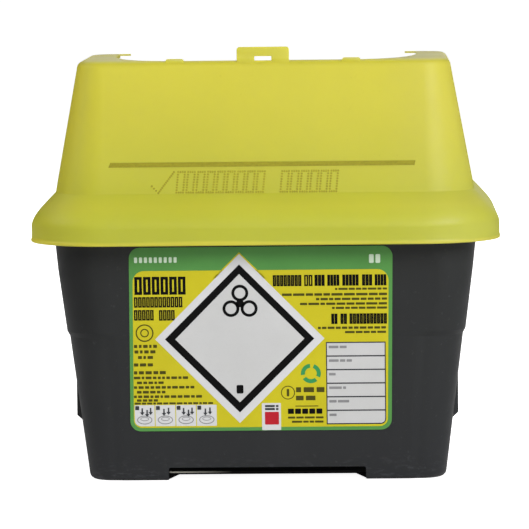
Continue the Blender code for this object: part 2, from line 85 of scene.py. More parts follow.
HOOD_WALL, DECK, DECK_EDGE = 1.6, 165.25, 3.0
CORNER_LOW, CORNER_HIGH = 19.0, 11.0
SEAT = RIM_TOP + 0.3
MOUTH_HALF, MOUTH_FRONT, MOUTH_SWEEP_X, MOUTH_SWEEP_Y = 60.5, -38.9, 22.5, 55.0
BACK_SILL, SILL_HALF, CHEEK, LIP_TIP = 156.8, 64.0, 1.3, 56.0
TAB_HALF, TAB_TOP, TAB_THICK, TAB_ROUND = 10.2, 170.4, 1.5, 1.2
SLOT_HALF, SLOT_LOW, SLOT_TOP = 3.3, 165.1, 166.75
NUB_X, NUB_HALF, NUB_TOP = 34.4, 3.55, 166.0
HINGE_Y, HINGE_Z, PIN_R, PIN_PLAY = 43.4, 159.1, 1.5, 0.25
BARREL_R, BARREL_HALF, EAR_IN, EAR_OUT, EAR_R = 2.0, 47.6, 48.1, 51.5, 2.9
FLAP_THICK, FLAP_FRONT_Z, FLAP_GAP, LIP_NOTCH = 1.6, 167.15, 0.6, 9.8
FLAP_HALF, FLAP_FRONT = MOUTH_HALF - FLAP_GAP, MOUTH_FRONT + FLAP_GAP
APRON_HALF, APRON_FRONT, APRON_DEEP, APRON_THICK, TAB_GAP_HALF = 43.0, -43.9, 5.0, 1.4, 11.3
RIB_IN, RIB_THICK, RIB_DEEP = 1.2, 1.2, 3.0
PAD_X, PAD_Y, PAD_LONG, PAD_WIDE, PAD_HIGH = 34.4, -31.0, 8.0, 4.2, 0.7
CATCH_ROOT_Y, CATCH_Z, CATCH_TIP_Y, CATCH_HALF, CATCH_THICK, CATCH_GAP, CATCH_BAR_R = -28.2, 165.95, -39.05, 2.9, 1.1, 0.45, 0.95
FLAP_SLOPE = math.atan2(FLAP_FRONT_Z - HINGE_Z, HINGE_Y - MOUTH_FRONT)
FLARE_CLEAR = 0.6


def hood_half(z):
    return HOOD_HALF_AT_FLARE - HOOD_DRAFT * (z - FLARE_TOP)


def flare_half(z):
    t = (z - FLARE_LOW) / (FLARE_TOP - FLARE_LOW)
    return SKIRT_HALF - (SKIRT_HALF - HOOD_HALF_AT_FLARE) * (1.25 * t**1.72 - 0.25 * t**3.4)


def open_angle():
    lean = 0.0
    for i in range(60):
        z = FLARE_LOW - 6.0 + (FLARE_TOP - FLARE_LOW + 6.0) * i / 59.0
        half = flare_half(z) if z > FLARE_LOW else SKIRT_HALF
        dy, dz = half - DEPTH_LESS - HINGE_Y, HINGE_Z - z
        off = math.asin((FLAP_THICK / 2.0 + FLARE_CLEAR) / math.hypot(dy, dz))
        lean = max(lean, math.atan2(dy, dz) + off)
    return math.pi - FLAP_SLOPE + math.pi / 2.0 - lean


OPEN = open_angle()


def mouth_edge(inset, steps, end=90.0):
    """The right front corner of the mouth's outline, moved in by inset: from the straight side round to the front."""
    cx, cy = MOUTH_HALF - MOUTH_SWEEP_X, MOUTH_FRONT + MOUTH_SWEEP_Y
    a, b = MOUTH_SWEEP_X - inset, MOUTH_SWEEP_Y - inset
    turns = [math.radians(end * i / steps) for i in range(steps + 1)]
    return [(cx + a * math.cos(t), cy - b * math.sin(t)) for t in turns]


def bin_half(z):
    half = BIN_HALF_AT_60 + BIN_DRAFT * (z - 60.0)
    if z <= STEP_BOTTOM:
        return half - STEP_IN
    if z < STEP_TOP:
        return half - STEP_IN * (STEP_TOP - z) / (STEP_TOP - STEP_BOTTOM)
    return half


def bin_plane(z):
    """Half-width that the flat panels' plane has, with no step in it."""
    return BIN_HALF_AT_60 + BIN_DRAFT * (z - 60.0)


def panel_y(z):
    return -(bin_plane(z) - DEPTH_LESS)


def front_y(z):
    """The hood's front face."""
    return -(hood_half(z) - DEPTH_LESS)


# ---- mesh helpers ------------------------------------------------------------------------------------------------
def clear_scene_defaults():
    for o in list(bpy.data.objects):
        if o.type in ("CAMERA", "LIGHT"):
            bpy.data.objects.remove(o, do_unlink=True)


clear_scene_defaults()


def arc(cx, cy, r, a0, a1, steps):
    return [
        (cx + r * math.cos(math.radians(a0 + (a1 - a0) * i / steps)), cy + r * math.sin(math.radians(a0 + (a1 - a0) * i / steps)))
        for i in range(steps + 1)
    ]


def filleted(points, radii, steps=5, closed=False):
    """A polyline in two dimensions with its inner corners rounded."""
    out = []
    n = len(points)
    for i, p in enumerate(points):
        r = radii[i] if isinstance(radii, (list, tuple)) else radii
        if r <= 0 or (not closed and i in (0, n - 1)):
            out.append(tuple(p))
            continue
        a, b, c = Vector(points[i - 1]), Vector(p), Vector(points[(i + 1) % n])
        u, v = a - b, c - b
        lu, lv = u.length, v.length
        if lu < 1e-6 or lv < 1e-6:
            out.append(tuple(p))
            continue
        u, v = u / lu, v / lv
        cosang = max(-1.0, min(1.0, u.dot(v)))
        ang = math.acos(cosang)
        if ang > math.pi - 0.01:
            out.append(tuple(p))
            continue
        t = min(r / math.tan(ang / 2.0), lu * 0.49, lv * 0.49)
        rr = t * math.tan(ang / 2.0)
        mid = (u + v).normalized()
        centre = b + mid * (rr / math.sin(ang / 2.0))
        s, e = b + u * t, b + v * t
        a0 = math.atan2(s.y - centre.y, s.x - centre.x)
        a1 = math.atan2(e.y - centre.y, e.x - centre.x)
        d = (a1 - a0 + math.pi) % (2 * math.pi) - math.pi
        for k in range(steps + 1):
            t_ = a0 + d * k / steps
            out.append((centre.x + rr * math.cos(t_), centre.y + rr * math.sin(t_)))
    return out


def loft(rings, cap=(True, True)):
    bm = bmesh.new()
    rows = [[bm.verts.new(p) for p in ring] for ring in rings]
    n = len(rows[0])
    for a, b in zip(rows, rows[1:]):
        for i in range(n):
            j = (i + 1) % n
            bm.faces.new((a[i], a[j], b[j], b[i]))
    if cap[0]:
        bm.faces.new(rows[0])
    if cap[1]:
        bm.faces.new(rows[-1])
    return bm


def prism(outline, low, high, axis="Z"):
    place = {"X": lambda a, b, t: (t, a, b), "Y": lambda a, b, t: (a, t, b), "Z": lambda a, b, t: (a, b, t)}[axis]
    return loft([[place(a, b, low) for a, b in outline], [place(a, b, high) for a, b in outline]])


def box(x0, x1, y0, y1, z0, z1):
    return prism([(x0, y0), (x1, y0), (x1, y1), (x0, y1)], z0, z1)


def raw(bm, name):
    """A bmesh in millimetres, written as it is, for Boolean work before `place`."""
    bmesh.ops.recalc_face_normals(bm, faces=bm.faces)
    mesh = bpy.data.meshes.new(name)
    bm.to_mesh(mesh)
    bm.free()
    ob = bpy.data.objects.new(name, mesh)
    bpy.context.scene.collection.objects.link(ob)
    return ob


def settle(ob):
    """Applies an object's modifiers to its mesh."""
    dg = bpy.context.evaluated_depsgraph_get()
    dg.update()
    mesh = bpy.data.meshes.new_from_object(ob.evaluated_get(dg), depsgraph=dg)
    old = ob.data
    ob.modifiers.clear()
    ob.data = mesh
    bpy.data.meshes.remove(old)
    return ob


def boole(ob, tools, how):
    """Boolean of ob with several tools in turn. The tools are removed."""
    for bm in tools:
        tool = raw(bm, "tool")
        m = ob.modifiers.new("b", "BOOLEAN")
        m.operation, m.solver, m.object = how, "EXACT", tool
        settle(ob)
        bpy.data.objects.remove(tool, do_unlink=True)
    return ob


def soften(ob, width, angle=32.0, segments=2):
    """Small rounded edges, as moulded plastic has. Width is in the mesh's own units."""
    bm = bmesh.new()
    bm.from_mesh(ob.data)
    bmesh.ops.remove_doubles(bm, verts=bm.verts, dist=0.002)
    bmesh.ops.dissolve_degenerate(bm, edges=bm.edges, dist=0.002)
    bm.to_mesh(ob.data)
    bm.free()
    m = ob.modifiers.new("soft", "BEVEL")
    m.width, m.segments, m.limit_method = width, segments, "ANGLE"
    m.angle_limit = math.radians(angle)
    m.use_clamp_overlap = True
    m.harden_normals = False
    settle(ob)
    return ob


def place(ob, mat, turn=None, smooth=32.0):
    """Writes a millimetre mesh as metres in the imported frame. turn is a rotation in the design frame, made first."""
    m = Matrix.Diagonal((MM, MM, MM, 1.0))
    if turn is not None:
        m = m @ turn
    m = Matrix.Translation((0, Y0, 0)) @ m
    ob.data.transform(m)
    kept = [face.material_index for face in ob.data.polygons]
    several = isinstance(mat, (list, tuple))
    ob.data.materials.clear()
    for one in mat if several else [mat]:
        ob.data.materials.append(one)
    for face, index in zip(ob.data.polygons, kept):
        face.material_index = index if several else 0
    ob.data.shade_smooth()
    ob.data.set_sharp_from_angle(angle=math.radians(smooth))
    ob.data.update()
    return ob


def ring(half, corner, z, steps, less=DEPTH_LESS, panel=0.0, fade=1.6):
    """A rounded rectangle at height z. panel pushes the flat stretches of the front and back out, with soft ends."""
    hx, hy = half, half - less
    pts = []
    edge = hx - corner - 0.3
    ramp = [k / 6.0 for k in range(7)]
    inner = [-1.0, -0.75, -0.5, -0.25, 0.0, 0.25, 0.5, 0.75, 1.0]

    def soft(t):
        return t * t * (3 - 2 * t)

    # front side, left to right
    for t in ramp[:-1]:
        pts.append((-edge + fade * t, -(hy + panel * soft(t))))
    for k in inner:
        pts.append(((edge - fade) * k, -(hy + panel)))
    for t in ramp[::-1][1:]:
        pts.append((edge - fade * t, -(hy + panel * soft(t))))
    pts += arc(hx - corner, -(hy - corner), corner, -90, 0, steps)
    side = hy - corner
    for k in (-0.6, -0.2, 0.2, 0.6):
        pts.append((hx, side * k))
    pts += arc(hx - corner, hy - corner, corner, 0, 90, steps)
    for t in ramp[:-1]:
        pts.append((edge - fade * t, hy + panel * soft(t)))
    for k in inner[::-1]:
        pts.append(((edge - fade) * k, hy + panel))
    for t in ramp[::-1][1:]:
        pts.append((-edge + fade * t, hy + panel * soft(t)))
    pts += arc(-(hx - corner), hy - corner, corner, 90, 180, steps)
    for k in (0.6, 0.2, -0.2, -0.6):
        pts.append((-hx, side * k))
    pts += arc(-(hx - corner), -(hy - corner), corner, 180, 270, steps)
    return [(x, y, z) for x, y in pts]


# ---- materials ---------------------------------------------------------------------------------------------------
class Nodes:
    """Short calls for building a node tree."""

    def __init__(self, name):
        self.mat = bpy.data.materials.new(name)
        self.mat.use_nodes = True
        self.t = self.mat.node_tree
        self.t.nodes.clear()
        self.out = self.t.nodes.new("ShaderNodeOutputMaterial")
        self.coord = self.t.nodes.new("ShaderNodeTexCoord")

    def node(self, kind, **values):
        n = self.t.nodes.new(kind)
        for k, v in values.items():
            if hasattr(n, k):
                setattr(n, k, v)
            else:
                n.inputs[k.replace("_", " ")].default_value = v
        return n

    def link(self, a, b):
        self.t.links.new(a, b)

    def noise(self, scale, detail=3.0, rough=0.55, stretch=(1, 1, 1)):
        m = self.node("ShaderNodeMapping")
        m.inputs["Scale"].default_value = stretch
        self.link(self.coord.outputs["Object"], m.inputs["Vector"])
        n = self.node("ShaderNodeTexNoise")
        n.inputs["Scale"].default_value = scale
        n.inputs["Detail"].default_value = detail
        n.inputs["Roughness"].default_value = rough
        self.link(m.outputs["Vector"], n.inputs["Vector"])
        return n.outputs["Fac"]

    def ramp(self, fac, stops):
        r = self.node("ShaderNodeValToRGB")
        el = r.color_ramp.elements
        while len(el) > 1:
            el.remove(el[-1])
        el[0].position, el[0].color = stops[0][0], (*stops[0][1], 1.0)
        for pos, col in stops[1:]:
            e = el.new(pos)
            e.color = (*col, 1.0)
        self.link(fac, r.inputs["Fac"])
        return r.outputs["Color"]

    def span(self, fac, a0, a1, b0, b1):
        r = self.node("ShaderNodeMapRange")
        r.inputs["From Min"].default_value = a0
        r.inputs["From Max"].default_value = a1
        r.inputs["To Min"].default_value = b0
        r.inputs["To Max"].default_value = b1
        self.link(fac, r.inputs["Value"])
        return r.outputs["Result"]

    def height(self):
        """Object-space height, for colour that changes up the piece."""
        s = self.node("ShaderNodeSeparateXYZ")
        self.link(self.coord.outputs["Object"], s.inputs["Vector"])
        return s

    def mixed(self, fac, a, b, blend="MIX"):
        m = self.node("ShaderNodeMix")
        m.data_type = "RGBA"
        m.blend_type = blend
        if hasattr(fac, "is_output"):
            self.link(fac, m.inputs[0])
        else:
            m.inputs[0].default_value = fac
        for s, v in ((6, a), (7, b)):
            if hasattr(v, "is_output"):
                self.link(v, m.inputs[s])
            else:
                m.inputs[s].default_value = (*v, 1.0)
        return m.outputs[2]

    def bump(self, height, strength, distance):
        b = self.node("ShaderNodeBump")
        b.inputs["Strength"].default_value = strength
        b.inputs["Distance"].default_value = distance
        self.link(height, b.inputs["Height"])
        return b.outputs["Normal"]

    def principled(self, colour, rough, normal=None, **values):
        p = self.node("ShaderNodeBsdfPrincipled")
        self.link(colour, p.inputs["Base Color"])
        if hasattr(rough, "is_output"):
            self.link(rough, p.inputs["Roughness"])
        else:
            p.inputs["Roughness"].default_value = rough
        if normal is not None:
            self.link(normal, p.inputs["Normal"])
        for k, v in values.items():
            p.inputs[k.replace("_", " ")].default_value = v
        return p


def charcoal_material(name="charcoal_polypropylene", level=1.0, gloss=0.26):
    """Recycled polypropylene: near-black, faintly mottled, with a fine spark-eroded grain and dull scuffs low down."""
    n = Nodes(name)
    cloud = n.noise(14.0, 4.0, 0.6)
    flow = n.noise(38.0, 3.0, 0.6, (1.0, 1.0, 0.22))
    base = n.ramp(cloud, [(0.30, (0.0120, 0.0126, 0.0133)), (0.70, (0.0158, 0.0165, 0.0172))])
    tint = n.ramp(flow, [(0.35, (0.0126, 0.0134, 0.0135)), (0.65, (0.0156, 0.0166, 0.0166))])
    colour = n.mixed(0.5, base, tint)
    speck = n.noise(620.0, 2.0, 0.5)
    colour = n.mixed(n.span(speck, 0.66, 0.80, 0.0, 0.22), colour, (0.072, 0.074, 0.075))
    xyz = n.height()
    low = n.span(xyz.outputs["Z"], 0.0, 0.012, 0.5, 0.0)
    scuff = n.noise(260.0, 4.0, 0.7, (1.0, 1.0, 3.0))
    wear = n.node("ShaderNodeMath", operation="MULTIPLY")
    n.link(low, wear.inputs[0])
    n.link(n.span(scuff, 0.52, 0.75, 0.0, 1.0), wear.inputs[1])
    colour = n.mixed(wear.outputs[0], colour, (0.075, 0.076, 0.078))
    # painted light and shade by height: paler and bluer near the ground, darker high up under the hood's skirt
    painted_light_ramp = n.ramp(n.span(xyz.outputs["Z"], 0.0, 0.107, 0.0, 1.0), [(0.0, (1.04, 1.05, 1.16)), (0.35, (1.05, 1.06, 1.10)), (0.7, (0.99, 1.01, 1.00)), (0.93, (0.96, 0.97, 0.90))])
    # level darkens the whole colour; the darkened copy is painted shade
    colour = n.mixed(1.0, colour, tuple(c * level for c in (1.0, 1.0, 1.0)), "MULTIPLY") if level != 1.0 else colour
    colour = n.mixed(1.0, colour, painted_light_ramp, "MULTIPLY")
    # painted shadow: the left rounded corner above the step darkened, as shade from the skirt's overhang
    painted_corner_shadow = n.node("ShaderNodeMath", operation="MULTIPLY")
    n.link(n.span(xyz.outputs["X"], -0.0700, -0.0600, 1.0, 0.0), painted_corner_shadow.inputs[0])
    n.link(n.span(xyz.outputs["Z"], 0.050, 0.066, 0.10, 0.60), painted_corner_shadow.inputs[1])
    colour = n.mixed(painted_corner_shadow.outputs[0], colour, (0.004, 0.0042, 0.004))
    rough = n.span(n.noise(60.0, 4.0, 0.65), 0.3, 0.7, 0.42, 0.56)
    grain = n.noise(2600.0, 2.0, 0.5)
    normal = n.bump(grain, 0.10, 0.00006)
    p = n.principled(colour, rough, normal)
    p.inputs["Specular IOR Level"].default_value = gloss
    n.link(p.outputs[0], n.out.inputs["Surface"])
    return n.mat


def yellow_material(name="yellow_polypropylene", through=0.42, lift=1.0, with_painted_light=False):
    """Thin translucent polypropylene: light passes into it and through it, the surface is a soft satin. On the hood,
    painted shade makes the colour deeper and greener over the bin's dark rim, and painted highlights and sheen make the
    thin edges paler."""
    n = Nodes(name)
    cloud = n.noise(11.0, 3.0, 0.55)
    flow = n.noise(26.0, 4.0, 0.6, (1.0, 1.0, 0.3))
    a = tuple(c * lift for c in (0.700, 0.655, 0.058))
    b = tuple(c * lift for c in (0.770, 0.720, 0.074))
    c2 = tuple(c * lift for c in (0.680, 0.650, 0.064))
    colour = n.ramp(cloud, [(0.30, a), (0.70, b)])
    colour = n.mixed(n.span(flow, 0.35, 0.75, 0.0, 0.45), colour, c2)
    if with_painted_light:
        # painted light and shade by height, with a noisy wobble: a pale painted highlight on the skirt's lip, darker
        # greener painted shade where the bin's rim stands behind the wall, lighter up the hood, then a dark line and a
        # pale top at the deck's edge
        z = n.height().outputs["Z"]
        wave = n.noise(16.0, 2.0, 0.5, (1.0, 1.0, 0.4))
        drift = n.node("ShaderNodeMath", operation="MULTIPLY_ADD")
        n.link(wave, drift.inputs[0])
        drift.inputs[1].default_value = 0.003
        n.link(z, drift.inputs[2])
        painted_light_ramp = n.ramp(
            n.span(drift.outputs[0], 0.0955, 0.1675, 0.0, 1.0),
            [
                (0.000, (1.04, 1.02, 1.25)),
                (0.022, (1.03, 1.02, 1.20)),
                (0.036, (0.84, 0.91, 0.95)),
                (0.110, (0.84, 0.91, 0.90)),
                (0.165, (0.88, 0.94, 0.92)),
                (0.215, (0.92, 0.96, 0.98)),
                (0.270, (0.88, 0.93, 0.90)),
                (0.420, (0.93, 0.96, 1.00)),
                (0.700, (0.98, 0.98, 1.02)),
                (0.950, (1.01, 1.00, 1.04)),
                (0.972, (0.93, 0.92, 0.86)),
                (0.988, (0.96, 0.96, 1.00)),
                (1.000, (1.02, 1.02, 1.42)),
            ],
        )
        colour = n.mixed(1.0, colour, painted_light_ramp, "MULTIPLY")
        # painted sheen: surfaces at the deck's height made pale and bluish
        deck = n.ramp(n.span(z, 0.163, 0.168, 0.0, 1.0), [(0.26, (1.0, 1.0, 1.0)), (0.40, (1.06, 1.08, 3.1)), (0.47, (1.06, 1.08, 3.1)), (0.56, (1.0, 1.0, 1.3))])
        x = n.height().outputs["X"]
        # painted reflection: the right side made paler and bluer
        colour = n.mixed(n.span(x, 0.046, 0.078, 0.0, 1.0), colour, n.mixed(1.0, colour, (1.0, 1.0, 1.55), "MULTIPLY"))
        # painted light: the left side a little lighter and less blue
        colour = n.mixed(n.span(x, -0.082, -0.064, 1.0, 0.0), colour, n.mixed(1.0, colour, (1.03, 1.01, 0.94), "MULTIPLY"))
        # painted light: faces turned to the left made lighter
        facing = n.node("ShaderNodeSeparateXYZ")
        n.link(n.coord.outputs["Normal"], facing.inputs["Vector"])
        colour = n.mixed(n.span(facing.outputs["X"], -0.98, -0.55, 1.0, 0.0), colour, n.mixed(1.0, colour, (1.27, 1.23, 1.16), "MULTIPLY"))

        def product(*parts):
            value = parts[0]
            for part in parts[1:]:
                m = n.node("ShaderNodeMath", operation="MULTIPLY")
                n.link(value, m.inputs[0])
                n.link(part, m.inputs[1])
                value = m.outputs[0]
            return value

        # painted light: the upright cut faces at the mouth's back ends made pale and bluish
        away = n.node("ShaderNodeMath", operation="ABSOLUTE")
        n.link(x, away.inputs[0])
        side_on = n.span(facing.outputs["Z"], 0.30, 0.72, 1.0, 0.0)
        painted_light_back_ends = product(n.span(away.outputs[0], 0.0535, 0.0555, 0.0, 1.0), n.span(n.height().outputs["Y"], 0.0, 0.010, 0.0, 1.0), n.span(z, 0.1625, 0.1636, 0.0, 1.0), side_on)
        colour = n.mixed(painted_light_back_ends, colour, n.mixed(1.0, colour, (1.22, 1.22, 2.8), "MULTIPLY"))
        # painted sheen: paler and bluer at the top round the two stops beside the tab
        stops = product(n.span(z, 0.1650, 0.1654, 0.0, 1.0), n.span(away.outputs[0], 0.026, 0.028, 0.0, 1.0), n.span(away.outputs[0], 0.040, 0.042, 1.0, 0.0))
        colour = n.mixed(stops, colour, n.mixed(1.0, colour, (0.96, 0.98, 2.1), "MULTIPLY"))
        # the deck's painted sheen is kept to faces that look up
        deck = n.mixed(n.span(facing.outputs["Z"], 0.30, 0.72, 0.0, 1.0), (1.0, 1.0, 1.0), deck)
        colour = n.mixed(1.0, colour, deck, "MULTIPLY")
    mote = n.noise(900.0, 2.0, 0.5)
    colour = n.mixed(n.span(mote, 0.70, 0.82, 0.0, 0.25), colour, tuple(c * 0.72 for c in a))
    rough = n.span(n.noise(75.0, 4.0, 0.65), 0.3, 0.7, 0.43, 0.56)
    grain = n.noise(1800.0, 2.0, 0.5)
    normal = n.bump(grain, 0.07, 0.00005)
    p = n.principled(colour, rough, normal)
    p.inputs["Subsurface Weight"].default_value = 0.35
    p.inputs["Subsurface Radius"].default_value = (1.0, 0.9, 0.25)
    p.inputs["Subsurface Scale"].default_value = 0.004
    p.inputs["Specular IOR Level"].default_value = 0.45
    tr = n.node("ShaderNodeBsdfTranslucent")
    n.link(colour, tr.inputs["Color"])
    n.link(normal, tr.inputs["Normal"])
    mix = n.node("ShaderNodeMixShader")
    mix.inputs[0].default_value = through
    n.link(p.outputs[0], mix.inputs[1])
    n.link(tr.outputs[0], mix.inputs[2])
    n.link(mix.outputs[0], n.out.inputs["Surface"])
    return n.mat


def print_material(name, rgb, spread=0.10, rough=(0.34, 0.46), scale=45.0, gloss=0.22):
    """Printed film: a colour with slight unevenness of the ink and a faint film texture."""
    n = Nodes(name)
    cloud = n.noise(scale, 4.0, 0.6)
    colour = n.ramp(cloud, [(0.3, tuple(c * (1 - spread) for c in rgb)), (0.7, tuple(min(1.0, c * (1 + spread)) for c in rgb))])
    dots = n.noise(2400.0, 1.0, 0.4)
    colour = n.mixed(n.span(dots, 0.58, 0.70, 0.0, 0.10), colour, tuple(c * 0.7 for c in rgb))
    r = n.span(n.noise(120.0, 3.0, 0.6), 0.3, 0.7, rough[0], rough[1])
    film = n.noise(420.0, 3.0, 0.55)
    normal = n.bump(film, 0.04, 0.00004)
    p = n.principled(colour, r, normal)
    p.inputs["Specular IOR Level"].default_value = gloss
    n.link(p.outputs[0], n.out.inputs["Surface"])
    return n.mat


def ink_material(name, rgb):
    """Ink jetted on the hood: uneven, slightly transparent-looking olive."""
    n = Nodes(name)
    speck = n.noise(1400.0, 3.0, 0.6)
    band = n.noise(140.0, 3.0, 0.6, (1.0, 1.0, 4.0))
    colour = n.ramp(speck, [(0.30, tuple(c * 0.80 for c in rgb)), (0.70, tuple(c * 1.25 for c in rgb))])
    colour = n.mixed(n.span(band, 0.35, 0.75, 0.0, 0.35), colour, tuple(c * 1.3 for c in rgb))
    p = n.principled(colour, 0.55, n.bump(speck, 0.05, 0.00003))
    p.inputs["Specular IOR Level"].default_value = 0.2
    n.link(p.outputs[0], n.out.inputs["Surface"])
    return n.mat


charcoal = charcoal_material()
# a darkened copy of the charcoal: painted shade for the front recess
shade = charcoal_material("charcoal_recess_painted_shade", 0.06, 0.04)


def glint_rib_material():
    """The rib in the front recess, with a painted highlight at its left end that fades into painted shade along it."""
    n = Nodes("recess_rib_painted_glint")
    x = n.height().outputs["X"]
    # painted highlight at the rib's left end, fading to black along x as painted shade
    reach = n.mixed(n.span(n.noise(180.0, 3.0, 0.6), 0.3, 0.7, 0.0, 0.25), (0.42, 0.41, 0.36), (0.30, 0.29, 0.25))
    colour = n.mixed(n.span(x, -0.036, -0.014, 0.0, 1.0), reach, (0.001, 0.001, 0.001))
    p = n.principled(colour, n.span(n.noise(60.0, 4.0, 0.65), 0.3, 0.7, 0.42, 0.56), n.bump(n.noise(2600.0, 2.0, 0.5), 0.10, 0.00006))
    p.inputs["Specular IOR Level"].default_value = 0.10
    n.link(p.outputs[0], n.out.inputs["Surface"])
    return n.mat


rib_painted_glint = glint_rib_material()
yellow = yellow_material()
# the hood's copy carries painted light and shade in its colour
hood_yellow_painted_light = yellow_material("hood_polypropylene_painted_light", with_painted_light=True)
green = print_material("label_green", (0.075, 0.243, 0.054), 0.05)
field_yellow = print_material("label_yellow", (0.490, 0.430, 0.0095), 0.05)
pale = print_material("label_grey", (0.560, 0.560, 0.570), 0.03)
panel_white = print_material("label_panel_grey", (0.490, 0.490, 0.490), 0.03)
black = print_material("label_black", (0.0022, 0.0022, 0.0025), 0.15, (0.50, 0.60), 45.0, 0.08)
slate = print_material("label_slate", (0.034, 0.035, 0.040), 0.12, (0.5, 0.6), 45.0, 0.12)
mid_grey = print_material("label_mid_grey", (0.210, 0.210, 0.215), 0.12)
olive_type = print_material("label_small_type", (0.060, 0.054, 0.007), 0.12, (0.5, 0.6), 45.0, 0.12)
leaf = print_material("label_leaf", (0.030, 0.235, 0.070), 0.08)
light_type = print_material("label_light_type", (0.560, 0.680, 0.540), 0.05)
red = print_material("label_red", (0.400, 0.008, 0.018), 0.06)
ink = ink_material("hood_ink", (0.235, 0.210, 0.010))
ink_faint = ink_material("hood_ink_faint", (0.290, 0.262, 0.012))

# ---- bin ---------------------------------------------------------------------------------------------------------
STEPS = 14


def bin_corner(z, h):
    if z <= FOOT_EDGE:
        return max(7.0, FOOT_CORNER - (bin_half(FOOT_EDGE) - h))
    if z < STEP_BOTTOM:
        return FOOT_CORNER + (BIN_CORNER - FOOT_CORNER) * (z - FOOT_EDGE) / (STEP_BOTTOM - FOOT_EDGE)
    return BIN_CORNER + (RIM_CORNER - BIN_CORNER) * max(0.0, min(1.0, (z - 84.0) / (BEAD_LOW - 84.0)))


def bin_profile():
    h0 = bin_half(FOOT_EDGE)
    line = [(0.0, h0 - FOOT_EDGE - 3.0), (0.0, h0 - FOOT_EDGE * 0.0 - 0.4), (STEP_BOTTOM, bin_half(STEP_BOTTOM)), (STEP_TOP, bin_half(STEP_TOP)), (84.0, bin_half(84.0)), (BEAD_LOW, bin_half(BEAD_LOW)), (BEAD_LOW + 0.9, bin_half(BEAD_LOW) + BEAD_OUT), (RIM_TOP - 1.4, bin_half(BEAD_LOW) + BEAD_OUT + 0.4), (RIM_TOP, bin_half(BEAD_LOW) + BEAD_OUT - 0.9)]
    radii = [0, FOOT_EDGE * 1.05, 0.9, 0.9, 0, 0.5, 0.5, 0.6, 0]
    return filleted(line, radii, 6)


outer = []
prof = bin_profile()
dense = [prof[0]]
for a, b in zip(prof, prof[1:]):
    cuts = max(1, int(abs(b[0] - a[0]) / 9.0))
    for k in range(1, cuts + 1):
        dense.append((a[0] + (b[0] - a[0]) * k / cuts, a[1] + (b[1] - a[1]) * k / cuts))
rings = []
for z, h in dense:
    stand = max(0.0, bin_plane(z) - h) if FOOT_EDGE <= z < STEP_TOP + 1.0 else (STEP_IN if z < FOOT_EDGE else 0.0)
    stand = min(stand, STEP_IN)
    rings.append(ring(h, bin_corner(z, h), z, STEPS, panel=stand * 0.86, fade=5.0))
inner = [(RIM_TOP, bin_half(RIM_TOP) - BIN_WALL - 0.4), (RIM_TOP - 1.0, bin_half(RIM_TOP) - BIN_WALL)]
inner += [(z, bin_half(z) - BIN_WALL) for z in (BEAD_LOW, 84.0, STEP_TOP + 1.2, STEP_TOP + 0.4, STEP_BOTTOM + 0.5, STEP_BOTTOM - 0.3, 40.0, 20.0)]
inner += [(9.0, bin_half(9.0) - BIN_WALL), (7.2, bin_half(9.0) - BIN_WALL - 0.5), (5.6, bin_half(9.0) - BIN_WALL - 1.5), (4.4, bin_half(9.0) - BIN_WALL - 2.8), (3.7, bin_half(9.0) - BIN_WALL - 4.0), (BIN_FLOOR, bin_half(9.0) - BIN_WALL - 5.6)]
for z, h in inner:
    stand = min(STEP_IN, max(0.0, bin_plane(z) - bin_half(z)))
    rings.append(ring(h, bin_corner(z, h) - BIN_WALL - (1.5 if 3.3 < z < 6 else 0.0), z, STEPS, panel=stand * 0.86, fade=5.0))
shell = raw(loft(rings), "bin_shell")
fy = bin_half(FOOT_EDGE) - DEPTH_LESS
tools = []
for side in (-1, 1):
    y0, y1 = sorted((side * 30.0, side * (fy - 4.2)))
    tools.append(box(-NOTCH_HALF - 1.9, NOTCH_HALF + 1.9, y0, y1, BIN_FLOOR - 1.0, NOTCH_TOP + BIN_WALL))
for side in (-1, 1):
    prof = [(bin_half(LUG_END) - 0.9, LUG_END - 0.8), (bin_half(LUG_END), LUG_END), (LUG_FACE, LUG_LOW), (LUG_FACE, LUG_TOP - 1.2), (bin_half(LUG_TOP) - 0.9, LUG_TOP)]
    tools.append(prism([(side * x, z) for x, z in prof], -LUG_HALF, LUG_HALF, "Y"))
boole(shell, tools, "UNION")
tools = []
for side in (-1, 1):
    y0, y1 = sorted((side * (fy - NOTCH_DEEP + 0.75), side * (fy + 12)))
    out = filleted([(-NOTCH_HALF, -3.0), (NOTCH_HALF, -3.0), (NOTCH_HALF, NOTCH_TOP), (-NOTCH_HALF, NOTCH_TOP)], [0, 0, 0.8, 0.8], 4, True)
    tools.append(prism(out, y0, y1, "Y"))
reach = (FOOT_INNER - BELLY_HALF) / BELLY
belly = filleted([(-FOOT_INNER - reach, -1.0), (FOOT_INNER + reach, -1.0), (BELLY_HALF, BELLY), (-BELLY_HALF, BELLY)], [0, 0, 1.0, 1.0], 4, True)
tools.append(prism(belly, -60.0, 60.0, "Y"))
boole(shell, tools, "DIFFERENCE")
soften(shell, 0.32, 38.0, 3)
# faces inside the front recess take the darkened charcoal copy, as painted shade
for face in shell.data.polygons:
    c = face.center
    hidden = -bin_half(max(c.z, FOOT_EDGE)) + DEPTH_LESS + 0.45 < c.y < bin_half(max(c.z, FOOT_EDGE)) - DEPTH_LESS - 0.45
    if c.z < NOTCH_TOP + 0.05 and abs(c.x) < NOTCH_HALF + 0.1 and abs(c.y) > 30.0 and hidden:
        face.material_index = 1
place(shell, [charcoal, shade])
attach(shell, "base")
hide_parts("base_bin")
# a thin rib in the front recess, there to carry a painted highlight
wall_y = -(fy - NOTCH_DEEP + 0.75)
rib = raw(prism(arc(wall_y, 3.05, 0.34, 90, 270, 10), -NOTCH_HALF + 0.2, NOTCH_HALF - 0.2, "X"), "recess_glint_rib")
place(rib, rib_painted_glint)
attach(rib, "base")

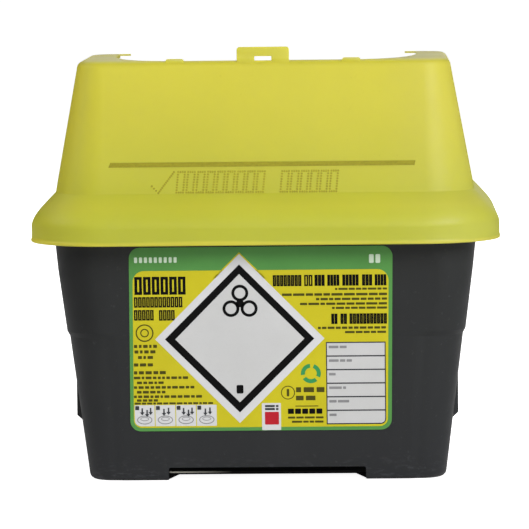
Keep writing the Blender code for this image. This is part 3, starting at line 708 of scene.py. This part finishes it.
# ---- front label -------------------------------------------------------------------------------------------------
LABEL_X, LABEL_HALF, LABEL_LOW, LABEL_TOP, LABEL_CORNER, LABEL_LEAN = -1.85, 51.25, 20.1, 93.2, 4.2, 0.0113
LABEL_MID = 57.0


def on_label(x, z, off):
    """A point of the print at x, z, off the front panel. The print leans a little."""
    return (x + LABEL_LEAN * (z - LABEL_MID), panel_y(z) - off, z)


def rounded_rect(x0, z0, x1, z1, r, steps=6):
    rr = r if isinstance(r, (list, tuple)) else [r] * 4  # bottom-right, top-right, top-left, bottom-left
    pts = [(x1, z0), (x1, z1), (x0, z1), (x0, z0)]
    return filleted(pts, list(rr), steps, True)


def film(shapes, low, high):
    """Closed flat prisms on the label, one for each outline."""
    bm = bmesh.new()
    for shape in shapes:
        near = [bm.verts.new(on_label(x, z, high)) for x, z in shape]
        far = [bm.verts.new(on_label(x, z, low)) for x, z in shape]
        k = len(shape)
        bm.faces.new(near)
        bm.faces.new(far[::-1])
        for i in range(k):
            j = (i + 1) % k
            bm.faces.new((near[i], far[i], far[j], near[j]))
    return bm


def printed(name, shapes, mat, level):
    """One colour of the print. level counts layers from the film up."""
    low = 0.16 + 0.035 * (level - 1)
    ob = place(raw(film(shapes, low, low + 0.03), name), mat)
    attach(ob, "base")
    return ob


def annulus(cx, cz, r1, r0, a0=0.0, a1=360.0, steps=40):
    full = abs(a1 - a0) >= 359.9
    if full:
        half = []
        for s, e in ((a0, a0 + 180.0), (a0 + 180.0, a0 + 360.0)):
            half.append(arc(cx, cz, r1, s, e, steps // 2) + arc(cx, cz, r0, e, s, steps // 2))
        return half
    return [arc(cx, cz, r1, a0, a1, steps) + arc(cx, cz, r0, a1, a0, steps)]


def blocks(x0, z0, x1, z1, count, fill=0.66, r=0.25):
    """A row of plain upright blocks, standing for a line of bold type."""
    pitch = (x1 - x0) / count
    w = pitch * fill
    return [rounded_rect(x0 + pitch * i, z0, x0 + pitch * i + w, z1, min(r, w * 0.3), 2) for i in range(count)]


def hollow(x0, z0, x1, z1, count, stroke, fill=0.82):
    """A row of plain hollow boxes, standing for a line of heading type. Each box is two bars and two caps."""
    pitch, out = (x1 - x0) / (count - 1 + fill), []
    w = pitch * fill
    for i in range(count):
        a = x0 + pitch * i
        b = a + w
        left = [(a, z0), (b, z0), (b, z0 + stroke), (a + stroke, z0 + stroke), (a + stroke, z1 - stroke), (a, z1 - stroke)]
        right = [(b, z1), (a, z1), (a, z1 - stroke), (b - stroke, z1 - stroke), (b - stroke, z0 + stroke), (b, z0 + stroke)]
        out += [left, right]
    return out


rng = random.Random(7)


def words(x0, z0, x1, z1, mean, right=False):
    """Plain bars of word length, standing for a line of small type."""
    out, x = [], x0
    gap = (z1 - z0) * 0.42
    h = (z1 - z0) * 0.08
    while x < x1 - 0.6:
        w = min(mean * rng.uniform(0.55, 1.5), x1 - x)
        if x1 - (x + w) < gap + 0.8:
            w = x1 - x
        out.append(rounded_rect(x, z0 + h, x + w, z1 - h, 0.12, 1))
        x += w + gap
    if right:
        out = [[(x0 + x1 - a, b) for a, b in shape][::-1] for shape in out]
    return out


# the film itself, with its edge
outline = rounded_rect(LABEL_X - LABEL_HALF, LABEL_LOW, LABEL_X + LABEL_HALF, LABEL_TOP, LABEL_CORNER, 10)
sheet_ob = raw(film([outline], 0.03, 0.16), "label_film")
place(sheet_ob, green)
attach(sheet_ob, "base")
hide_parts("front_label")


def lean_free(shape):
    """Shapes below are measured where they lie, so the print's own lean is taken off before on_label adds it."""
    return [(x - LABEL_LEAN * (z - LABEL_MID), z) for x, z in shape]


FIELD = (-51.72, 21.5, 47.9, 84.0)
field = rounded_rect(*FIELD, [3.2, 4.4, 4.4, 3.2], 8)
printed("label_field", [field], field_yellow, 1)


def diamond(top, left, bottom, right):
    return lean_free([left, bottom, right, top])


printed("label_diamond_outline", [lean_free([(-20.2, 80.86), (-9.83, 91.1), (0.6, 80.7), (-9.83, 80.7)])], field_yellow, 1)
printed("label_diamond_margin", [diamond((-9.83, 90.41), (-43.09, 56.86), (-10.48, 23.16), (23.02, 56.7))], pale, 2)
printed("label_diamond_band", [diamond((-9.89, 86.31), (-39.26, 56.83), (-10.41, 27.41), (19.04, 56.73))], black, 3)
printed("label_diamond_face", [diamond((-9.95, 82.52), (-35.24, 56.8), (-10.35, 31.5), (15.18, 56.77))], panel_white, 4)

# a plain mark in place of the hazard symbol: three rings round a middle ring
mark = []
cx, cz = -9.75, 70.9
for a in (90.0, 210.0, 330.0):
    mark += annulus(cx + 4.1 * math.cos(math.radians(a)), cz + 4.1 * math.sin(math.radians(a)), 3.3, 2.15, 0, 360, 36)
mark += annulus(cx, cz, 1.55, 0.0001, 0, 360, 20)
mark.append(rounded_rect(-11.6, 35.0, -8.9, 38.4, 0.5, 3))
printed("label_mark", [lean_free(s) for s in mark], black, 5)

heavy = []
heavy += hollow(-50.78, 74.6, -30.85, 81.69, 6, 1.12, 0.86)
heavy += hollow(-51.07, 69.53, -32.2, 73.69, 12, 0.58, 0.88)
heavy += hollow(-51.18, 64.42, -43.5, 68.59, 5, 0.58, 0.88)
heavy += hollow(-41.42, 64.34, -35.3, 68.51, 4, 0.58, 0.88)
for x0, x1, k in ((3.17, 14.45, 8), (15.38, 18.77, 2), (19.4, 23.47, 3), (24.37, 29.19, 4), (30.2, 36.69, 5), (37.88, 41.94, 3), (42.8, 47.45, 4)):
    heavy += hollow(x0, 77.55, x1 - 0.15, 81.95, k, 0.60, 0.90)
for x0, x1, k in ((25.76, 28.3, 2), (29.34, 32.0, 2), (32.85, 47.57, 11)):
    heavy += hollow(x0, 62.4, x1 - 0.15, 66.52, k, 0.58, 0.90)
heavy += blocks(8.41, 26.65, 22.31, 28.75, 5, 0.84)
printed("label_heavy_type", [lean_free(s) for s in heavy], black, 2)

small = []
for x0, z0, x1, z1, mean, right in (
    (-51.44, 53.37, -42.45, 54.86, 1.5, False), (-51.29, 51.18, -43.08, 52.67, 1.7, False), (-49.97, 48.98, -44.1, 50.4, 1.6, False),
    (-51.6, 46.0, -44.16, 47.49, 1.8, False), (-51.66, 42.84, -39.2, 44.35, 1.7, False), (-51.71, 40.91, -30.5, 42.15, 1.7, False),
    (-50.57, 38.97, -40.1, 40.17, 1.7, False), (-51.79, 37.08, -28.1, 38.32, 1.7, False), (-50.65, 35.19, -39.5, 36.44, 1.7, False),
    (-51.87, 33.38, -25.2, 34.62, 1.7, False), (-50.72, 31.92, -42.5, 33.08, 1.6, False), (-51.7, 30.80, -20.9, 31.75, 1.7, False),
    (27.32, 75.81, 47.54, 76.8, 2.6, True), (6.67, 73.57, 47.53, 74.76, 3.2, True), (19.89, 71.77, 47.51, 72.88, 3.0, True),
    (13.63, 69.9, 47.5, 71.0, 3.0, True), (26.08, 68.26, 47.49, 69.29, 2.8, True), (20.54, 60.34, 47.04, 61.46, 3.0, True), (31.05, 58.63, 47.03, 59.66, 3.0, True),
    (11.65, 35.14, 22.8, 37.5, 3.0, False), (11.61, 31.9, 19.24, 34.1, 3.0, False), (8.38, 24.72, 22.29, 25.68, 4.5, False), (9.92, 23.03, 22.27, 23.99, 3.0, False),
):
    small += words(x0, z0, x1, z1, mean, right)
small += annulus(-47.2, 59.4, 3.5, 3.0, 0, 360, 36)
small += annulus(-47.2, 59.4, 1.7, 1.25, 0, 360, 28)
small += annulus(8.5, 35.2, 2.75, 2.4, 0, 360, 36)
small.append(rounded_rect(8.0, 33.7, 9.0, 36.7, 0.3, 2))
small.append(rounded_rect(11.3, 29.6, 20.4, 29.95, 0.12, 1))
printed("label_small_type", [lean_free(s) for s in small], olive_type, 2)

# step pictures, as plain grey panels with a plain shape in each
x0, z0, x1, z1 = -51.7, 22.15, -19.2, 30.6
w = (x1 - x0) / 4.0
panes, shapes, darks = [], [], []
for i in range(4):
    a = x0 + w * i
    if i == 0:
        panes.append(rounded_rect(a, z0, a + w - 0.35, z1, [0, 0, 0, 2.4], 5))
    else:
        panes.append(rounded_rect(a, z0, a + w - 0.35, z1, 0.1, 1))
    mid = a + w / 2.0 - 0.2
    for rx, rz, t, up_ in ((3.0, 1.75, 0.34, 2.5), (1.7, 0.8, 0.26, 2.9)):
        for s0, s1 in ((0.0, 180.0), (180.0, 360.0)):
            turns = [math.radians(s0 + (s1 - s0) * k / 14.0) for k in range(15)]
            outer_arc = [(mid + rx * math.cos(q), z0 + up_ + rz * math.sin(q)) for q in turns]
            inner_arc = [(mid + (rx - t) * math.cos(q), z0 + up_ + (rz - t) * math.sin(q)) for q in reversed(turns)]
            shapes.append(outer_arc + inner_arc)
    darks.append(rounded_rect(a + 0.25, z1 - 1.95, a + 1.75, z1 - 0.35, 0.15, 1))
    for dx, dz in ((-0.4, 0.0), (1.5, -0.7), (2.9, 0.1)) if i % 2 == 0 else ((0.0, -0.3), (1.8, 0.1)):
        ax, az = mid + dx - 0.5, z1 - 2.9 + dz
        darks.append([(ax - 0.28, az), (ax + 0.28, az), (ax + 0.28, az + 1.7), (ax - 0.28, az + 1.7)])
        darks.append([(ax - 0.85, az + 0.05), (ax, az - 1.15), (ax + 0.85, az + 0.05)])
printed("label_step_panes", [lean_free(s) for s in panes], pale, 2)
printed("label_step_shapes", [lean_free(s) for s in shapes], mid_grey, 3)
printed("label_step_arrows", [lean_free(s) for s in darks], slate, 4)

# form table
fx0, fz0, fx1, fz1 = 23.73, 22.56, 46.64, 55.08
printed("label_form_frame", [lean_free(rounded_rect(fx0 - 0.2, fz0 - 0.2, fx1 + 0.2, fz1 + 0.2, [2.2, 0.15, 0.15, 0.15], 5))], slate, 2)
row = (fz1 - fz0) / 6.0
cells, tags = [], []
for i in range(6):
    zt = fz1 - row * i
    cells.append(rounded_rect(fx0 + 0.2, zt - row + 0.27, fx1 - 0.2, zt - 0.27, [1.7 if i == 5 else 0.1, 0.1, 0.1, 0.1], 4))
    length = (7.0, 9.0, 2.6, 6.6, 7.8, 2.8)[i]
    tags += words(fx0 + 0.9, zt - 2.4, fx0 + 0.9 + length, zt - 1.2, 3.6)
printed("label_form_cells", [lean_free(s) for s in cells], panel_white, 3)
printed("label_form_tags", [lean_free(s) for s in tags], mid_grey, 4)

# recycled-content mark, as a plain broken ring
leafs = []
for a in (95.0, 215.0, 335.0):
    leafs += annulus(17.55, 42.8, 3.9, 2.3, a, a + 95.0, 10)
printed("label_ring", [lean_free(s) for s in leafs], leaf, 2)

# white box with a plain coloured block
printed("label_box", [lean_free(rounded_rect(-1.81, 20.25, 5.64, 31.08, 0.2, 1))], pale, 2)
printed("label_box_block", [lean_free(rounded_rect(-0.65, 22.46, 4.84, 27.55, 0.3, 2))], red, 3)
printed("label_box_type", [lean_free(s) for s in words(-0.58, 29.38, 4.71, 30.38, 3.0) + words(-0.59, 28.18, 4.7, 29.18, 3.0)], slate, 3)

# light type on the head
head = blocks(-50.71, 87.2, -33.39, 89.4, 9, 0.62, 0.3)
head += blocks(40.65, 86.45, 45.69, 89.9, 2, 0.72, 0.35)
printed("label_head_type", [lean_free(s) for s in head], light_type, 1)

# ---- hood --------------------------------------------------------------------------------------------------------
def hood_corner(z):
    """Plan radius of the hood's upright corners, tighter toward the deck."""
    t = max(0.0, min(1.0, (z - FLARE_TOP) / (DECK - DECK_EDGE - FLARE_TOP)))
    return CORNER_LOW + (CORNER_HIGH - CORNER_LOW) * t


def hood_outer():
    line = [(SKIRT_LOW, SKIRT_HALF + SKIRT_LIP - 0.55, SKIRT_CORNER)]
    for a in (20, 45, 70, 90):
        line.append((SKIRT_LOW + 0.55 - 0.55 * math.cos(math.radians(a)), SKIRT_HALF + SKIRT_LIP - 0.55 + 0.55 * math.sin(math.radians(a)), SKIRT_CORNER))
    line += [(SKIRT_LOW + 1.1, SKIRT_HALF + SKIRT_LIP, SKIRT_CORNER), (SKIRT_LOW + 1.5, SKIRT_HALF + 0.06, SKIRT_CORNER), (SKIRT_LOW + 1.9, SKIRT_HALF, SKIRT_CORNER), (98.6, SKIRT_HALF, SKIRT_CORNER)]
    for i in range(26):
        t = i / 25.0
        z = FLARE_LOW + (FLARE_TOP - FLARE_LOW) * t
        line.append((z, flare_half(z), SKIRT_CORNER - (SKIRT_CORNER - CORNER_LOW) * t**1.2))
    for k in range(1, 9):
        z = FLARE_TOP + (DECK - DECK_EDGE - FLARE_TOP) * k / 8.0
        line.append((z, hood_half(z), hood_corner(z)))
    r1 = CORNER_HIGH
    for a in (12, 24, 36, 48, 60, 72, 82, 90):
        z = DECK - DECK_EDGE * (1 - math.sin(math.radians(a)))
        inset = DECK_EDGE * (1 - math.cos(math.radians(a)))
        line.append((z, hood_half(DECK - DECK_EDGE) - inset, r1 - inset))
    return line


def hood_inner():
    seat_half = flare_half(SEAT)
    line = [
        (DECK - HOOD_WALL, hood_half(DECK) - HOOD_WALL - 1.9, CORNER_HIGH - 3.8),
        (DECK - HOOD_WALL - 0.5, hood_half(DECK) - HOOD_WALL - 0.8, CORNER_HIGH - 2.7),
        (DECK - HOOD_WALL - 1.7, hood_half(DECK - 3.2) - HOOD_WALL, CORNER_HIGH - 1.6),
        (150.0, hood_half(150.0) - HOOD_WALL, hood_corner(150.0) - 1.6),
        (132.0, hood_half(132.0) - HOOD_WALL, hood_corner(132.0) - 1.6),
        (FLARE_TOP - 0.5, hood_half(FLARE_TOP) - HOOD_WALL, CORNER_LOW - 1.6),
        (SEAT + 2.2, hood_half(FLARE_TOP) - HOOD_WALL + 0.9, CORNER_LOW - 1.2),
        (SEAT, hood_half(FLARE_TOP) - HOOD_WALL + 1.3, CORNER_LOW - 1.0),
        (SEAT, seat_half - HOOD_WALL - 0.5, SKIRT_CORNER - 9.0),
        (SEAT - 1.3, flare_half(SEAT - 1.3) - HOOD_WALL - 0.3, SKIRT_CORNER - 7.0),
        (SEAT - 2.6, flare_half(SEAT - 2.6) - HOOD_WALL - 0.2, SKIRT_CORNER - 5.0),
        (102.6, flare_half(102.6) - HOOD_WALL - 0.1, SKIRT_CORNER - 3.0),
        (FLARE_LOW, SKIRT_HALF - HOOD_WALL - 0.1, SKIRT_CORNER - 1.7),
        (SKIRT_LOW + 0.4, SKIRT_HALF - HOOD_WALL + 0.1, SKIRT_CORNER - 1.6),
        (SKIRT_LOW, SKIRT_HALF - HOOD_WALL + 0.45, SKIRT_CORNER - 1.5),
    ]
    return line


out_line, in_line = hood_outer(), hood_inner()
bm = bmesh.new()
rows = [[bm.verts.new(p) for p in ring(h, r, z, STEPS)] for z, h, r in out_line + in_line]
n = len(rows[0])
top = len(out_line)
for k, (a, b) in enumerate(zip(rows, rows[1:] + rows[:1])):
    if k == top - 1:
        continue
    for i in range(n):
        j = (i + 1) % n
        bm.faces.new((a[i], a[j], b[j], b[i]))
bm.faces.new(rows[top - 1])
bm.faces.new(rows[top])
hood = raw(bm, "hood_shell")

wall_in = hood_half(BACK_SILL) - DEPTH_LESS - HOOD_WALL + 0.6
tools = []
for side in (-1, 1):
    x0, x1 = sorted((side * SILL_HALF, side * (SILL_HALF + CHEEK)))
    y_c = -12.0
    cheek = [(y_c, DECK - 0.8), (y_c, DECK - 3.6), (wall_in, BACK_SILL - 2.2), (wall_in - 1.6, DECK - 0.8)]
    tools.append(prism(cheek, x0, x1, "X"))
boole(hood, tools, "UNION")
mouth = mouth_edge(0.0, 26)
mouth += [(-x, y) for x, y in reversed(mouth)]
mouth += [(-MOUTH_HALF, 70.0), (MOUTH_HALF, 70.0)]
boole(hood, [prism(mouth, BACK_SILL, DECK + 12.0), box(-SILL_HALF, SILL_HALF, 36.0, 60.0, BACK_SILL, DECK - HOOD_WALL - 0.1)], "DIFFERENCE")
tools = []
back_y = hood_half(DECK) - DEPTH_LESS
for side in (-1, 1):
    x0, x1 = sorted((side * LIP_TIP, side * (SILL_HALF + 0.6)))
    tools.append(box(x0, x1, back_y - 4.2, back_y - 2.4, DECK - 0.75, DECK - 0.02))
tab_y = -(hood_half(DECK) - DEPTH_LESS) + 0.15
tab = [(-TAB_HALF, DECK - 4.0), (TAB_HALF, DECK - 4.0)]
tab += arc(TAB_HALF - TAB_ROUND, TAB_TOP - TAB_ROUND, TAB_ROUND, 0, 90, 8)
tab += arc(-(TAB_HALF - TAB_ROUND), TAB_TOP - TAB_ROUND, TAB_ROUND, 90, 180, 8)
tools.append(prism(tab, tab_y, tab_y + TAB_THICK, "Y"))
for side in (-1, 1):
    nub = filleted([(side * NUB_X - NUB_HALF, DECK - 3.0), (side * NUB_X + NUB_HALF, DECK - 3.0), (side * NUB_X + NUB_HALF, NUB_TOP), (side * NUB_X - NUB_HALF, NUB_TOP)], [0, 0, 0.9, 0.9], 4, True)
    tools.append(prism(nub, tab_y + 0.1, tab_y + 1.45, "Y"))
ear = arc(HINGE_Y, HINGE_Z, EAR_R, -55, 215, 30)
ear += [(hood_half(BACK_SILL) - DEPTH_LESS - HOOD_WALL + 0.1, BACK_SILL - 1.2), (hood_half(BACK_SILL) - DEPTH_LESS - 0.1, BACK_SILL - 2.4)]
for side in (-1, 1):
    x0, x1 = sorted((side * EAR_IN, side * EAR_OUT))
    tools.append(prism(ear, x0, x1, "X"))
lug_out = SKIRT_HALF - DEPTH_LESS - HOOD_WALL + 0.5
lug_tip = bin_half(BEAD_LOW) + BEAD_OUT + 0.4 - DEPTH_LESS + 0.4
for sx in (-1, 1):
    for sy in (-1, 1):
        prof = filleted([(sy * lug_out, 101.6), (sy * lug_tip, 101.2), (sy * lug_tip, 100.2), (sy * lug_out, 96.6)], [0, 0.3, 0.3, 0], 3)
        x0, x1 = sorted((sx * 42.0, sx * 56.0))
        tools.append(prism(prof, x0, x1, "X"))
boole(hood, tools, "UNION")
hole = arc(HINGE_Y, HINGE_Z, PIN_R + PIN_PLAY, 0, 352.5, 47)
tools = [box(-SLOT_HALF, SLOT_HALF, -60.0, -34.0, SLOT_LOW, SLOT_TOP)]
for side in (-1, 1):
    x0, x1 = sorted((side * (EAR_IN - 4.0), side * (EAR_OUT + 4.0)))
    tools.append(prism(hole, x0, x1, "X"))
boole(hood, tools, "DIFFERENCE")
soften(hood, 0.25, 40.0, 3)
place(hood, hood_yellow_painted_light)
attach(hood, "lid")
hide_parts("lid_hood")


def on_hood(shapes, name, mat, low=0.01, high=0.03):
    """Ink on the hood's front face, as closed flat prisms."""
    bm = bmesh.new()
    for shape in shapes:
        near = [bm.verts.new((x, front_y(z) - high, z)) for x, z in shape]
        far = [bm.verts.new((x, front_y(z) - low, z)) for x, z in shape]
        k = len(shape)
        bm.faces.new(near)
        bm.faces.new(far[::-1])
        for i in range(k):
            j = (i + 1) % k
            bm.faces.new((near[i], far[i], far[j], near[j]))
    ob = place(raw(bm, name), mat)
    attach(ob, "lid")
    return ob


line = [(-60.3, 124.32), (58.6, 124.28), (59.0, 126.1), (-59.6, 126.14)]
on_hood([line], "fill_line", ink)

# plain dotted blocks and a stroke, in place of the words jetted under the line
dots = []


def dot_block(x0, z0, w, h, cols, rows_, slant):
    for i in range(cols):
        for j in range(rows_):
            if 0 < i < cols - 1 and 0 < j < rows_ - 1:
                continue
            z = z0 + h * j / (rows_ - 1)
            x = x0 + w * i / (cols - 1) + slant * (z - z0)
            dots.append([(x + 0.47 * math.cos(math.radians(60 * k)), z + 0.47 * math.sin(math.radians(60 * k))) for k in range(6)])


pitch = (1.3 + 33.6) / 9.0
for i in range(9):
    dot_block(-33.9 + pitch * i, 114.5, 2.6, 7.9, 4, 9, 0.10)
pitch = (29.3 - 6.4) / 6.0
for i in range(6):
    dot_block(6.5 + pitch * i, 114.5, 2.6, 7.9, 4, 9, 0.10)
for i in range(4):
    t = i / 3.0
    dots.append([(-43.4 + 2.5 * t + 0.47 * math.cos(math.radians(60 * k)), 117.0 - 2.6 * t + 0.47 * math.sin(math.radians(60 * k))) for k in range(6)])
for i in range(1, 13):
    t = i / 12.0
    dots.append([(-40.9 + 6.1 * t + 0.47 * math.cos(math.radians(60 * k)), 114.4 + 8.0 * t + 0.47 * math.sin(math.radians(60 * k))) for k in range(6)])
on_hood(dots, "dotted_blocks", ink_faint)

# ---- cover flap, drawn closed, then turned open about its hinge ----------------------------------------------------
TURN = Matrix.Translation((0, HINGE_Y, HINGE_Z)) @ Matrix.Rotation(-OPEN, 4, "X") @ Matrix.Translation((0, -HINGE_Y, -HINGE_Z))


def mid_z(y):
    return HINGE_Z + math.tan(FLAP_SLOPE) * (HINGE_Y - y)


def slab(outline, low_off, high_off):
    return loft([[(x, y, mid_z(y) + low_off) for x, y in outline], [(x, y, mid_z(y) + high_off) for x, y in outline]])


half_t = FLAP_THICK / 2.0
inner_y = HINGE_Y - EAR_R - 1.2
lip_y = HINGE_Y - LIP_NOTCH
notch = CATCH_HALF + CATCH_GAP
right = [(BARREL_HALF, HINGE_Y), (BARREL_HALF, inner_y), (LIP_TIP - 0.8, inner_y), (LIP_TIP - 0.8, lip_y), (FLAP_HALF, lip_y)]
right = filleted(right, [0, 0.8, 1.2, 0.8, 0], 4)
apron_end = math.degrees(math.acos((APRON_HALF - MOUTH_HALF + MOUTH_SWEEP_X) / (MOUTH_SWEEP_X - FLAP_GAP)))
sweep = mouth_edge(FLAP_GAP, 24, apron_end)
right += sweep[:-1]
tail = [sweep[-2], sweep[-1], (APRON_HALF, APRON_FRONT), (TAB_GAP_HALF, APRON_FRONT), (TAB_GAP_HALF, FLAP_FRONT), (notch, FLAP_FRONT), (notch, CATCH_ROOT_Y + CATCH_BAR_R + CATCH_GAP)]
right += filleted(tail, [0, 0.6, 1.2, 0.9, 0.8, 0.6, 0], 4)[1:]
plan = right + [(-x, y) for x, y in reversed(right)]
flap = raw(slab(plan, -half_t, half_t), "flap_panel")
tools = [prism(arc(HINGE_Y, HINGE_Z, BARREL_R, 0, 352.5, 47), -BARREL_HALF, BARREL_HALF, "X")]
tools.append(loft([[(x, HINGE_Y + r * math.cos(math.radians(7.5 * i)), HINGE_Z + r * math.sin(math.radians(7.5 * i))) for i in range(48)] for x, r in ((-EAR_OUT - 0.4, PIN_R - 0.5), (-EAR_OUT + 0.2, PIN_R - 0.06), (-EAR_OUT + 0.6, PIN_R), (EAR_OUT - 0.6, PIN_R), (EAR_OUT - 0.2, PIN_R - 0.06), (EAR_OUT + 0.4, PIN_R - 0.5))]))
apron_top = FLAP_FRONT_Z + FLAP_THICK / 2.0 + 0.2
apron_low = apron_top - FLAP_THICK - APRON_DEEP
for side in (-1, 1):
    x0, x1 = sorted((side * TAB_GAP_HALF, side * APRON_HALF))
    prof = filleted([(APRON_FRONT, apron_top), (APRON_FRONT, apron_low), (APRON_FRONT + APRON_THICK, apron_low), (APRON_FRONT + APRON_THICK, apron_top - 0.6)], [0.7, 0.3, 0.3, 0.2], 4, True)
    tools.append(prism(prof, x0, x1, "X"))
x_rib, y_rib = FLAP_HALF - RIB_IN, FLAP_FRONT + RIB_IN
rib_out = [(x_rib, lip_y - 1.6)] + mouth_edge(FLAP_GAP + RIB_IN, 24)
rib_in = [(x_rib - RIB_THICK, lip_y - 1.6)] + mouth_edge(FLAP_GAP + RIB_IN + RIB_THICK, 24)
for side in (1, -1):
    path = rib_out + [(notch + 1.0, y_rib), (notch + 1.0, y_rib + RIB_THICK)] + rib_in[::-1]
    tools.append(slab([(side * x, y) for x, y in path], -half_t - RIB_DEEP, -half_t + 0.4))
for side in (1, -1):
    oval = [(side * PAD_X + PAD_LONG * math.cos(math.radians(8 * i)), PAD_Y + PAD_WIDE * math.sin(math.radians(8 * i))) for i in range(45)]
    tools.append(slab(oval, 0.2, half_t + PAD_HIGH))
boole(flap, tools, "UNION")
soften(flap, 0.28, 40.0, 3)
place(flap, yellow, TURN)
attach(flap, "flap")
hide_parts("cover_flap")

# ---- catch tongue: it reaches through the tab's slot when the flap is closed ----------------------------------------
h = CATCH_THICK / 2.0
tip = CATCH_TIP_Y - CATCH_ROOT_Y
REACH = 2.6
tongue = arc(0.0, 0.0, CATCH_BAR_R, 145, -145, 26)
tongue += filleted([(tongue[-1][0], tongue[-1][1]), (-4.0, -h), (tip - REACH + 1.2, -h + 0.05), (tip - REACH, -h + 0.45), (tip - REACH, h - 0.5), (tip - REACH + 1.2, h - 0.05), (-4.0, h), (tongue[0][0], tongue[0][1])], [0, 0.4, 0.4, 0.2, 0.2, 0.4, 0.4, 0], 3)[1:-1]
catch = raw(prism([(y + CATCH_ROOT_Y, z + CATCH_Z) for y, z in tongue], -CATCH_HALF, CATCH_HALF, "X"), "catch_spring")
ridges = [prism(arc(CATCH_ROOT_Y + y, CATCH_Z + h - 0.05, 0.32, 0, 330, 11), -CATCH_HALF + 0.7, CATCH_HALF - 0.7, "X") for y in (-4.6, -6.0, -7.4)]
boole(catch, ridges, "UNION")
soften(catch, 0.18, 40.0, 2)
place(catch, yellow, TURN)
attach(catch, "catch")
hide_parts("catch_tongue")

# ---- stage, camera, light ----------------------------------------------------------------------------------------
floor_mesh = bpy.data.meshes.new("floor")
b = bmesh.new()
bmesh.ops.create_grid(b, x_segments=1, y_segments=1, size=40.0)
b.to_mesh(floor_mesh)
b.free()
floor = bpy.data.objects.new("floor", floor_mesh)
bpy.context.scene.collection.objects.link(floor)
floor.location = (0, 0, -0.0002)
fm = Nodes("floor_paint")
fcol = fm.ramp(fm.noise(3.0, 2.0, 0.5), [(0.3, (0.86, 0.86, 0.86)), (0.7, (0.88, 0.88, 0.88))])
diff = fm.node("ShaderNodeBsdfDiffuse")
fm.link(fcol, diff.inputs["Color"])
glow = fm.node("ShaderNodeEmission")
glow.inputs["Color"].default_value = (1, 1, 1, 1)
glow.inputs["Strength"].default_value = 0.97
both = fm.node("ShaderNodeAddShader")
fm.link(diff.outputs[0], both.inputs[0])
fm.link(glow.outputs[0], both.inputs[1])
path = fm.node("ShaderNodeLightPath")
pick = fm.node("ShaderNodeMixShader")
fm.link(path.outputs["Is Camera Ray"], pick.inputs[0])
fm.link(diff.outputs[0], pick.inputs[1])
fm.link(both.outputs[0], pick.inputs[2])
fm.link(pick.outputs[0], fm.out.inputs["Surface"])
floor_mesh.materials.append(fm.mat)

world = bpy.data.worlds.new("studio")
bpy.context.scene.world = world
world.use_nodes = True
wt = world.node_tree
bg = wt.nodes["Background"]
bg.inputs["Color"].default_value = (1.0, 1.0, 1.0, 1.0)
bg.inputs["Strength"].default_value = 0.05
seen = wt.nodes.new("ShaderNodeBackground")
seen.inputs["Color"].default_value = (1.0, 1.0, 1.0, 1.0)
seen.inputs["Strength"].default_value = 1.0
ray = wt.nodes.new("ShaderNodeLightPath")
blend = wt.nodes.new("ShaderNodeMixShader")
wt.links.new(ray.outputs["Is Camera Ray"], blend.inputs[0])
wt.links.new(bg.outputs[0], blend.inputs[1])
wt.links.new(seen.outputs[0], blend.inputs[2])
wt.links.new(blend.outputs[0], wt.nodes["World Output"].inputs["Surface"])


def softbox(name, at, aim, size, watts, tint=(1, 1, 1)):
    d = bpy.data.lights.new(name, "AREA")
    d.shape = "RECTANGLE"
    d.size, d.size_y = size
    d.energy = watts
    d.color = tint
    o = bpy.data.objects.new(name, d)
    bpy.context.scene.collection.objects.link(o)
    o.location = at
    o.rotation_mode = "QUATERNION"
    o.rotation_quaternion = (Vector(aim) - Vector(at)).to_track_quat("-Z", "Y")
    return o


softbox("key", (0.88, -1.35, 1.05), (0, 0, 0.08), (1.15, 0.9), 41.0)
softbox("side_right", (1.5, -0.1, 0.45), (0, 0, 0.08), (0.9, 0.8), 1.4)
softbox("side_left", (-1.35, -0.35, 1.0), (0, 0, 0.08), (0.9, 0.8), 9.5)
softbox("edge_left", (-1.25, 0.75, 1.3), (-0.06, 0, 0.13), (0.9, 0.8), 2.5)
softbox("back", (0.15, 1.45, 0.6), (0, 0, 0.12), (1.4, 0.9), 6.0)

bpy.context.scene.view_settings.view_transform = "Standard"

AZ, EL, ROLL, DIST, FOCAL_PX = math.radians(1.49), math.radians(5.20), math.radians(-0.64), 1584.6, 3948.0
fwd = Vector((-math.sin(AZ) * math.cos(EL), math.cos(AZ) * math.cos(EL), -math.sin(EL)))
rgt = Vector((math.cos(AZ), math.sin(AZ), 0.0))
up = rgt.cross(fwd)
r2 = math.cos(ROLL) * rgt + math.sin(ROLL) * up
u2 = -math.sin(ROLL) * rgt + math.cos(ROLL) * up
eye = (Vector((-1.27, 0.0, 81.65)) - fwd * DIST) * MM + Vector((0, Y0, 0))
cam_data = bpy.data.cameras.new("camera")
cam_data.sensor_width = 36.0
cam_data.lens = FOCAL_PX / 529.0 * 36.0
cam_data.clip_start, cam_data.clip_end = 0.05, 60.0
cam = bpy.data.objects.new("camera", cam_data)
bpy.context.scene.collection.objects.link(cam)
cam.matrix_world = Matrix(((r2.x, u2.x, -fwd.x, eye.x), (r2.y, u2.y, -fwd.y, eye.y), (r2.z, u2.z, -fwd.z, eye.z), (0, 0, 0, 1)))
bpy.context.scene.camera = cam
